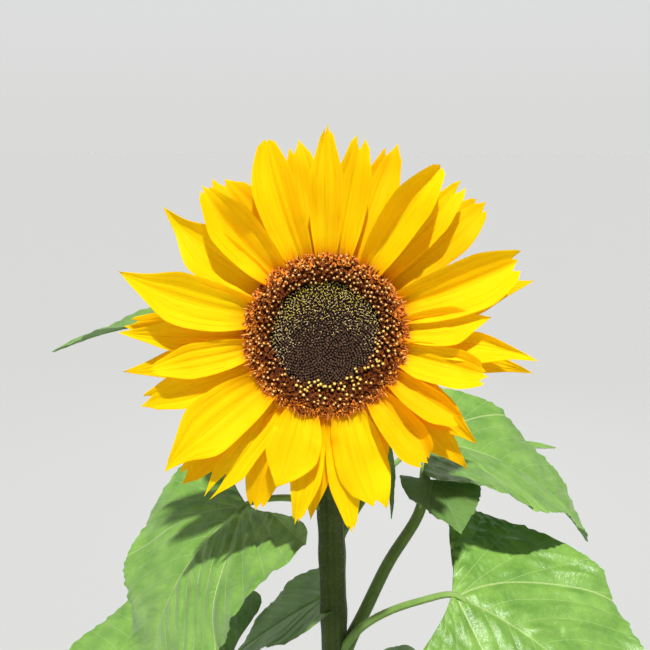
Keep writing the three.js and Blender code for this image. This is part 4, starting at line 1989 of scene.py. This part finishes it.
PETALS = (
    Petal(0, 123, 20, 0, Tip.NOTCHED, 0.1, -6, 0.0, 0.01),
    Petal(9.9, 119, 22, 1, Tip.TWIN, 0.05, 4, 0.0, 0.0),
    Petal(19.8, 123, 24, 2, Tip.LEFT_TOOTH, 0.3, 6, 0.0, 0.01),
    Petal(32.6, 119, 24, 0, Tip.BLUNT, 0.35, -10, -0.02, 0.03, 0.0, fold=0.7),
    Petal(41, 122, 21, 1, Tip.TWIN, 0.2, 8),
    Petal(50.5, 127, 29, 2, Tip.TRIPLE, 0.1, -4, 0.0, 0.0, 0.0),
    Petal(69, 126, 32, 1, Tip.STEPPED, 0.22, 8, 0.015, -0.02, 0.0),
    Petal(75.5, 130, 22, 2, drawn=0.2),
    Petal(84.4, 98, 23, 0, Tip.POINTED, 0.25, 6, 0.0, -0.05, 0.25),
    Petal(94.7, 127, 18, 1, Tip.POINTED, 0.2, 6, -0.02, 0.05, 0.2),
    Petal(99.8, 131, 17, 2, Tip.POINTED, 0.1, -4, -0.01, 0.03, 0.2, 0.6),
    Petal(103, 98, 23, 0, Tip.RAGGED, 0.3, 12, 0.01, 0.0, -0.1, 0.25),
    Petal(121.6, 95, 19, 0, Tip.TWIN, 0.5, 18, fold=0.5, warm=True),
    Petal(125.5, 114, 22, 1, drawn=0.25, bow=-0.03, foot=0.7, warm=True),
    Petal(132.5, 124, 23, 2, Tip.POINTED, 0.2, 4, 0.0, 0.04, 0.2, warm=True),
    Petal(140.8, 98, 23, 0, Tip.RAGGED, 0.35, 10, -0.01, 0.0, -0.1, fold=0.55, warm=True),
    Petal(153, 87, 20, 2),
    Petal(164, 110, 32, 0, Tip.HOOKED, -0.1, 4, 0.01, -0.03, 0.0),
    Petal(172, 124, 20, 1, Tip.NOTCHED, 0.1, -6),
    Petal(184, 120, 18, 2, Tip.POINTED, 0.1, 4, 0.0, 0.02, 0.1),
    Petal(188.3, 119, 19, 1, Tip.NOTCHED, 0.1, 6),
    Petal(197.4, 96, 32, 0, Tip.POINTED, -0.1, -5, -0.03, 0.03, 0.0),
    Petal(200.8, 122, 22, 2, Tip.TRIPLE, 0.1, 8, 0.075, 0.02, 0.0, 0.5),
    Petal(216.2, 125, 18, 1, Tip.SPLIT, 0.1, -6, -0.02, 0.0, -0.25, 0.4),
    Petal(224.8, 131, 24, 2, Tip.RIGHT_TOOTH, 0.05, 4, 0.0, -0.02),
    Petal(232, 125, 34, 0, Tip.POINTED, 0.1, -10, 0.02, -0.05, 0.22),
    Petal(249.8, 120, 24, 1, Tip.RIGHT_TOOTH, 0.15, 6, -0.01, 0.0),
    Petal(258.6, 128, 20, 2, Tip.POINTED, 0.1, -4, 0.0, 0.02, 0.2),
    Petal(260.9, 107, 21, 0, Tip.NOTCHED, 0.2, -8),
    Petal(270.2, 125, 20, 1, Tip.POINTED, 0.1, 4, 0.0, 0.02, 0.2),
    Petal(273.4, 124, 20, 2, Tip.RIGHT_TOOTH, 0.1, -4, 0.0, -0.02),
    Petal(287.2, 125, 31, 0, Tip.POINTED, 0.2, -8, -0.035, 0.03, 0.22),
    Petal(307.3, 122, 30, 1, Tip.POINTED, 0.15, 8, -0.03, 0.04, 0.32),
    Petal(321, 114, 28, 0, Tip.NOTCHED, 0.25, -8, -0.015, 0.0),
    Petal(326.8, 116, 31, 2, Tip.HOOKED, 0.1, 4, 0.0, -0.02),
    Petal(341.6, 121, 26, 1, Tip.BLUNT, 0.1, -4, -0.02, 0.045, -0.05),
    Petal(351.6, 119, 24, 2, Tip.LEFT_TOOTH, 0.1, 4, 0.0, 0.0),
)


@dataclass
class Receptacle:
    """The cup behind the florets, with its rows of pointed bracts."""

    head: Head = HEAD
    outline: tuple[tuple[float, float], ...] = (
        (0, -30.0), (11, -30.0), (12.6, -28.6), (16.5, -26.0), (21.5, -23.9), (27, -22.0),
        (33, -20.1), (38, -18.0), (42, -15.8), (45, -13.0), (46.6, -10.4), (47.0, -8.0),
        (46.6, -6.2), (0, -6.2),
    )
    bracts: int = 22
    root: float = 38.0
    height: float = -15.5
    reach: float = 78.0
    spread: float = 6.0
    width: float = 17.0
    rise: tuple[float, float] = (-22, -30)
    inner_root: float = -2.0
    inner_height: float = -1.5
    inner_rise: tuple[float, float] = (-8, -14)
    grid: tuple[int, int] = (12, 26)

    def bract(self, index: int) -> HeadBlade:
        """Works out one bract.

        Args:
            index: Its number from 0. Odd ones grow nearer the stem.

        Returns:
            The bract.
        """
        inner = index % 2
        return HeadBlade(
            clock=index * 360 / self.bracts,
            root=self.root + inner * self.inner_root,
            height=self.height + inner * self.inner_height,
            reach=self.reach + self.spread * math.sin(2.4 * index),
            width=self.width,
            rise=(
                self.rise[0] + inner * self.inner_rise[0],
                self.rise[1] + inner * self.inner_rise[1],
            ),
            thickness=0.9,
            grid=self.grid,
            cup=-0.25,
            twist=12 * math.sin(1.9 * index),
            bow=0.02 * math.sin(3.1 * index),
            wave=0.8,
            phase=0.37 * index,
            grooves=(0.0,),
            groove_depth=0.7,
        )

    def build(self) -> None:
        """Makes the cup and its bracts as one piece."""
        shapes = [turned(self.outline, 88)]
        shapes += [self.bract(index).solid() for index in range(self.bracts)]
        whole = self.head.lay(joined(shapes))
        grow_piece(whole, "receptacle_bracts", [BRACT_SKIN], ["receptacle"])


@dataclass
class Disc:
    """The closed buds in the middle of the head, on a golden spiral, with curled tips on them."""

    head: Head = HEAD
    buds: int = 1150
    step: float = 0.967
    jitter: float = 0.1
    outline: tuple[tuple[float, float], ...] = (
        (0, -5.7), (33, -5.7), (33, -1.1), (29, 0.7), (20, 1.2), (9, 0.9), (0, 0.7),
    )
    bud_size: tuple[float, float, float] = (0.8, 0.8, 1.5)
    lit_clock: float = -8.0  # the side whose tips are painted brightest, where light falls
    tips: int = 2  # curled ones on each bud

    def ground(self, radius: Numbers) -> Numbers:
        """Height of the bed at a radius."""
        radii, heights = zip(*self.outline[:1:-1])  # its upper side, from the middle outwards
        return np.interp(radius, radii, heights)

    @staticmethod
    def bud() -> Shape:
        """Makes a closed floret with a pointed top.

        Returns:
            The floret, one unit high.
        """
        bm = cone(6, 0.85, 0.6, 0.75)
        bmesh.ops.poke(bm, faces=[top_face(bm)], offset=0.25)
        return bm

    def build(self) -> None:
        """Makes the bed, the buds and their curled tips."""
        draw = np.random.default_rng(SEED + 1)
        clock, radius = spiral(1, self.buds + 1, self.step)
        far = radius / self.head.disc_radius
        count = len(clock)
        shake = self.jitter * swings(draw, (count, 3)) * np.array([1, 1, 0.6])
        places = clock_point(clock, radius, self.ground(radius) - 0.2) + shake
        outward = clock_point(clock, np.ones(count), np.zeros(count))
        rises = np.array([0, 0, 1.0]) + outward * (0.2 * radius / self.head.disc_radius)[:, None]
        rises = unit(rises + 0.2 * swings(draw, (count, 3)))
        size = np.array(self.bud_size) * (1 + 0.2 * swings(draw, (count, 3)))
        buds = strewn(self.bud(), places, rises, any_turns(draw, count), size)
        bed = turned(self.outline, 72)
        for face in bed.faces:
            face.material_index = 1
        whole = self.head.lay(joined([buds, bed]))
        grow_piece(whole, "disc_buds", [BUD, BUD_BED], ["flower_disc"])

        each = self.tips
        feet = np.repeat(places + rises * (size[:, 2:] * 0.7), each, axis=0)
        count = len(feet)
        feet = feet + 0.45 * swings(draw, (count, 3)) * np.array([1, 1, 0])
        ways = np.repeat(rises, each, axis=0) + 0.45 * swings(draw, (count, 3))
        # painted light: tips are brighter and more often yellow towards the lit top; outer tips are
        # also brighter of their own
        high = np.cos(clock - math.radians(self.lit_clock)) * radius / self.head.disc_radius
        bright = np.repeat(0.6 * high + 0.55 * far**3, each)
        bright = bright + 0.34 * swings(draw, count)
        yellow = np.repeat(high, each) + 0.6 * swings(draw, count)
        numbers = np.where(bright < 0.3, 2, np.where(yellow > 0.45, 0, 1))
        tall = 1.05 + 0.3 * swings(draw, count)
        wide = np.where(numbers == 2, 0.85, 1.05) * (1 + 0.2 * swings(draw, count))
        size = np.stack([wide, wide, tall], axis=-1)
        turns = any_turns(draw, count)
        curls = strewn(curled_thread(0.22, 0.9), feet, ways, turns, size, numbers)
        finishes = [CURL_BRIGHT, CURL_CREAM, CURL_BROWN]
        grow_piece(self.head.lay(curls), "disc_curls", finishes)


@dataclass
class FloretRing:
    """The open florets round the disc: dark tubes, rust-coloured threads and beads of pollen."""

    head: Head = HEAD
    disc: Disc = field(default_factory=Disc)
    step: float = 1.42
    inner: float = 33.4
    inner_bottom: float = 27.5  # how far in the open florets come at the bottom
    outer: float = 48.2
    rim: float = 46.4  # no floret stands outside it
    bed: tuple[tuple[float, float], ...] = (
        (33.0, -5.7), (46.4, -5.7), (46.4, -1.0), (45.2, 2.2), (42.2, 3.8), (38.4, 3.2),
        (35.0, 1.0), (33.0, -1.4), (33.0, -5.7),
    )
    bed_radii: tuple[float, ...] = (33.0, 35.0, 38.4, 42.2, 45.2, 48.6)
    bed_heights: tuple[float, ...] = (-1.6, 0.8, 3.0, 3.6, 2.0, -1.0)
    threads: int = 5  # on each floret
    lobes: int = 420  # those of the fringe; their radius, length and width as middle and swing
    lobe_radius: tuple[float, float] = (45.4, 1.2)
    lobe_length: tuple[float, float] = (6.2, 2.4)
    lobe_width: tuple[float, float] = (0.82, 0.22)

    @staticmethod
    def corolla() -> Shape:
        """Makes an open floret: a tube with five pointed lobes and a hollow mouth.

        Returns:
            The floret, one unit high.
        """
        bm = cone(10, 0.34, 0.52, 0.8)
        top = top_face(bm)
        bmesh.ops.inset_individual(bm, faces=[top], thickness=0.02, depth=0.0)
        rim = [v for v in bm.verts if v.co.z > 0.7 and v.co.xy.length > 0.515]
        for vertex in rim:
            step = round(math.atan2(vertex.co.y, vertex.co.x) / (math.pi / 5))
            if step % 2 == 0:
                vertex.co = Vector((vertex.co.x * 2.2, vertex.co.y * 2.2, 1.02))
        bmesh.ops.poke(bm, faces=[top], offset=-0.35)
        return bm

    @staticmethod
    def anther() -> Shape:
        """Makes an anther column that ends in a blunt point.

        Returns:
            The column, one unit high.
        """
        bm = cone(5, 0.8, 1.0, 0.85)
        bmesh.ops.inset_individual(bm, faces=[top_face(bm)], thickness=0.4, depth=0.15)
        for face in bm.faces:
            face.smooth = True
        return bm

    @staticmethod
    def bead() -> Shape:
        """Makes a bead of pollen.

        Returns:
            The bead, of radius one.
        """
        bm = bmesh.new()
        bmesh.ops.create_uvsphere(bm, u_segments=8, v_segments=5, radius=1.0)
        for face in bm.faces:
            face.smooth = True
        return bm

    def scatter(self, draw: np.random.Generator) -> tuple[Numbers, Numbers]:
        """Draws where the open florets stand.

        Args:
            draw: The source of random numbers.

        Returns:
            Their clock angles and radii.
        """
        first = int((self.inner_bottom / self.step) ** 2)
        last = int((self.outer / self.step) ** 2)
        clock, radius = spiral(first, last, self.step)
        radius = radius + 0.35 * swings(draw, len(clock))
        clock = clock + 0.3 * swings(draw, len(clock)) / radius
        low = np.clip(-np.cos(clock - math.radians(-25)), 0, 1) ** 1.5
        edge = between(self.inner, self.inner_bottom, low) + 1.2 * np.sin(7 * clock)
        kept = radius > edge
        return clock[kept], radius[kept]

    def build(self) -> None:
        """Makes the bed and the florets' parts, each kind as one piece."""
        draw = np.random.default_rng(SEED + 2)
        clock, radius = self.scatter(draw)
        count = len(clock)
        share = np.clip((radius - self.inner) / (self.outer - self.inner), 0, 1)
        ring_ground = np.interp(radius, self.bed_radii, self.bed_heights)
        ground = np.where(radius < self.inner, self.disc.ground(radius), ring_ground)
        places = clock_point(clock, np.minimum(radius, self.rim), ground - 0.3)
        outward = clock_point(clock, np.ones(count), np.zeros(count))
        lean = between(-0.25, 1.15, share**1.4)
        rises = np.array([0, 0, 1.0]) + outward * lean[:, None]
        rises = unit(rises + 0.2 * swings(draw, (count, 3)))
        turns = any_turns(draw, count)

        width = between(1.15, 1.7, share) * (1 + 0.2 * swings(draw, count))
        tall = between(2.6, 3.4, share) * (1 + 0.15 * swings(draw, count))
        outer = share + 0.2 * swings(draw, count) > 0.6
        size = np.stack([width, width, tall], axis=-1)
        numbers = np.where(outer, 0, 1)
        corollas = strewn(self.corolla(), places, rises, turns, size, numbers)
        finishes = [COROLLA_OUTER, COROLLA_INNER, FLORET_BED]
        bed = turned(self.bed, 96)
        for face in bed.faces:
            face.material_index = 2
        whole = self.head.lay(joined([corollas, bed]))
        grow_piece(whole, "ring_corollas", finishes, ["floret_ring"])

        reach = tall + between(0.9, 1.5, draw.uniform(0, 1, count)) * (1 - 0.4 * share)
        thin = 0.5 + 0.1 * swings(draw, count)
        size = np.stack([thin, thin, reach], axis=-1)
        anthers = strewn(self.anther(), places, rises, turns, size)
        grow_piece(self.head.lay(anthers), "ring_anthers", [ANTHER])

        low = np.cos(clock - math.radians(165))
        chance = 0.72 - 0.9 * np.clip(share - 0.55, 0, 1) - 0.9 * np.clip(low, 0, 1) * share
        beaded = draw.uniform(0, 1, count) < chance
        tops = (places + rises * (reach + 0.3)[:, None])[beaded]
        beads = len(tops)
        fresh = (low[beaded] + 0.5 * swings(draw, beads) > 0.5) & (share[beaded] < 0.3)
        wide = np.where(fresh, 0.84, 0.66) + 0.12 * swings(draw, beads)
        size = np.stack([wide, wide, wide * 0.9], axis=-1)
        spots = strewn(self.bead(), tops, rises[beaded], turns[beaded], size, fresh.astype(int))
        grow_piece(self.head.lay(spots), "ring_pollen", [POLLEN, POLLEN_FRESH])

        each = self.threads
        feet = np.repeat(places + rises * (tall * 0.8)[:, None], each, axis=0)
        far = np.repeat(share, each)
        count = len(feet)
        feet = feet + 0.5 * swings(draw, (count, 3))
        ways = np.repeat(rises, each, axis=0) + 0.5 * swings(draw, (count, 3))
        # painted light: threads are brighter towards the top, where light falls; otherwise their
        # tint follows how far out they stand, with chance
        tint_lit_top = far + 0.14 * np.repeat(np.cos(clock), each) + 0.45 * swings(draw, count)
        numbers = np.where(tint_lit_top > 0.82, 0, np.where(tint_lit_top > 0.36, 1, 2))
        long = between(1.6, 3.0, far) * (1 + 0.3 * swings(draw, count))
        wide = 1.2 * (1 + 0.3 * swings(draw, count))
        size = np.stack([wide, wide, long], axis=-1)
        template = curled_thread(0.19, 0.8)
        threads = strewn(template, feet, ways, any_turns(draw, count), size, numbers)
        finishes = [THREAD_BRIGHT, THREAD_RUST, THREAD_DARK]
        grow_piece(self.head.lay(threads), "ring_threads", finishes)
        self.fringe(draw)

    def fringe(self, draw: np.random.Generator) -> None:
        """Makes the pointed lobes that stand out over the roots of the ray florets.

        Args:
            draw: The source of random numbers.
        """
        count = self.lobes
        clock = np.linspace(0, math.tau, count, endpoint=False)
        clock = clock + 0.02 * swings(draw, count)
        radius = self.lobe_radius[0] + self.lobe_radius[1] * swings(draw, count)
        places = clock_point(clock, radius, np.interp(radius, self.bed_radii, self.bed_heights))
        outward = clock_point(clock, np.ones(count), np.zeros(count))
        rises = np.array([0, 0, 0.6]) + outward + 0.45 * swings(draw, (count, 3))
        long = self.lobe_length[0] + self.lobe_length[1] * swings(draw, count)
        wide = self.lobe_width[0] + self.lobe_width[1] * swings(draw, count)
        size = np.stack([wide, wide * 0.6, long], axis=-1)
        numbers = draw.integers(0, 4, count)
        lobes = strewn(spike(), places, rises, any_turns(draw, count), size, numbers)
        finishes = [THREAD_BRIGHT, THREAD_RUST, COROLLA_OUTER, THREAD_DARK]
        grow_piece(self.head.lay(lobes), "ring_fringe", finishes)


@dataclass
class Hairs:
    """The short stiff hairs of the stem, the shoot and the stalks."""

    density: float = 0.045  # hairs to a square millimetre
    length: float = 1.9
    radius: float = 0.09
    lean: float = 0.45
    sunk: float = 0.15

    def build(self, limbs: Sequence[Limb]) -> None:
        """Makes one piece of all the hairs on the limbs.

        Args:
            limbs: The limbs that have hairs.
        """
        draw = np.random.default_rng(SEED + 3)
        places, rises = [], []
        for limb in limbs:
            middle = float(limb.radius(np.array([0.4]), np.array([0.0]))[0])
            count = int(self.density * math.tau * middle * limb.path.length)
            share = draw.uniform(0.01, 0.97, count)
            angle = draw.uniform(-math.pi, math.pi, count)
            points, out = limb.skin(share, angle)
            places.append(points - out * self.sunk)
            rises.append(out + self.lean * swings(draw, (count, 3)))
        roots, ways = np.vstack(places), np.vstack(rises)
        count = len(roots)
        tall = self.length * draw.uniform(0.4, 1.2, count)
        thin = np.full(count, self.radius)
        size = np.stack([thin, thin, tall], axis=-1)
        hairs = strewn(spike(), roots, ways, any_turns(draw, count), size)
        grow_piece(hairs, "stem_hairs", [HAIR])


# The studio


class Beam(Enum):
    """How a lamp shines: in even rays from afar, or from a soft square nearby."""

    EVEN = "SUN"
    SOFT = "AREA"


@dataclass(frozen=True)
class Lamp:
    """A light: its size is in metres, or in degrees where it shines from afar."""

    name: str
    beam: Beam
    place: tuple[float, float, float]
    target: tuple[float, float, float]
    size: float
    power: float

    def build(self) -> None:
        """Adds the light to the scene."""
        data = bpy.data.lights.new(self.name, self.beam.value)
        if self.beam is Beam.EVEN:
            data.angle = math.radians(self.size)
        else:
            data.size = self.size
        data.energy = self.power
        made = bpy.data.objects.new(self.name, data)
        made.location = self.place
        way = Vector(self.target) - Vector(self.place)
        made.rotation_mode = "QUATERNION"
        made.rotation_quaternion = way.to_track_quat("-Z", "Y")
        bpy.context.scene.collection.objects.link(made)


@dataclass
class Studio:
    """The floor, the soft light and the camera at the photograph's angle."""

    line: StemLine = STEM_LINE
    elevation: float = 16.0
    distance: float = 438.0  # from the camera to the head's centre, in millimetres
    focal: float = 730.0  # in pixels of the picture
    image: float = 650.0
    off_centre: tuple[float, float] = (1.0, 11.0)  # pixels from the middle to the head's centre
    sensor: float = 36.0
    world: float = 1.0
    surround: tuple[tuple[float, Paint], ...] = (
        (0.0, paint(218, 219, 217)),
        (0.16, paint(221, 222, 222)),
        (0.4, paint(130, 134, 142)),
    )
    floor_half: float = 30.0

    def build(self) -> None:
        """Sets up the studio."""
        self.add_floor()
        self.add_lights()
        self.add_camera()

    def add_floor(self) -> None:
        """Lays the plain floor."""
        bm = bmesh.new()
        bmesh.ops.create_grid(bm, x_segments=2, y_segments=2, size=self.floor_half / MM)
        settle(bm, "studio_floor", [FloorFinish()])

    def add_lights(self) -> None:
        """Lights the plant from high in front, with a soft even surround."""
        lamps = (
            Lamp("key_light", Beam.EVEN, (0.15, -1.4, 3.87), (0.0, -0.05, 1.2), 2.0, 5.2),
            Lamp("fill_light", Beam.SOFT, (-1.9, -1.6, 1.7), (0.0, 0.0, 1.0), 1.6, 5.0),
            Lamp("back_light", Beam.SOFT, (0.4, 2.6, 2.0), (0.0, 0.0, 0.8), 1.6, 10.0),
        )
        for lamp in lamps:
            lamp.build()
        world = bpy.data.worlds.new("studio_surround")
        world.use_nodes = True
        nodes, links = world.node_tree.nodes, world.node_tree.links
        ground = nodes["Background"]
        ground.inputs["Strength"].default_value = self.world
        sky = nodes.new("ShaderNodeTexCoord")
        height = nodes.new("ShaderNodeSeparateXYZ")
        shade = nodes.new("ShaderNodeValToRGB")
        Shader.set_stops(shade.color_ramp, self.surround)
        links.new(sky.outputs["Generated"], height.inputs[0])
        links.new(height.outputs["Z"], shade.inputs[0])
        links.new(shade.outputs["Color"], ground.inputs["Color"])
        bpy.context.scene.world = world
        bpy.context.scene.view_settings.view_transform = "Standard"

    def add_camera(self) -> None:
        """Puts the camera where the photograph was taken from."""
        tilt = math.radians(self.elevation)
        right = Vector((1, 0, 0))
        ahead = Vector((0, math.cos(tilt), -math.sin(tilt)))
        up = right.cross(ahead)
        pixel = self.distance / self.focal
        place = Vector(self.line.head_centre) - ahead * self.distance
        place = place - right * self.off_centre[0] * pixel + up * self.off_centre[1] * pixel
        data = bpy.data.cameras.new("studio_camera")
        data.sensor_width = self.sensor
        data.lens = self.focal / self.image * self.sensor
        data.clip_start = 0.01
        made = bpy.data.objects.new("studio_camera", data)
        turn = Matrix((right, up, -ahead)).transposed()
        made.matrix_world = Matrix.Translation(place * MM) @ turn.to_4x4()
        bpy.context.scene.collection.objects.link(made)
        bpy.context.scene.camera = made


def main() -> None:
    """Builds the plant and its studio in order."""
    logging.basicConfig(level=logging.INFO, format="%(name)s %(message)s")
    Studio().build()
    shoot = SideShoot()
    foliage = Foliage(shoot)
    limbs = [MainStem(nodes=foliage.heights()).build(), shoot.build()]
    limbs += foliage.build()
    Hairs().build(limbs)
    Receptacle().build()
    Disc().build()
    FloretRing().build()
    Corona(PETALS).build()
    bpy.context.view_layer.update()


if __name__ == "__main__":
    main()
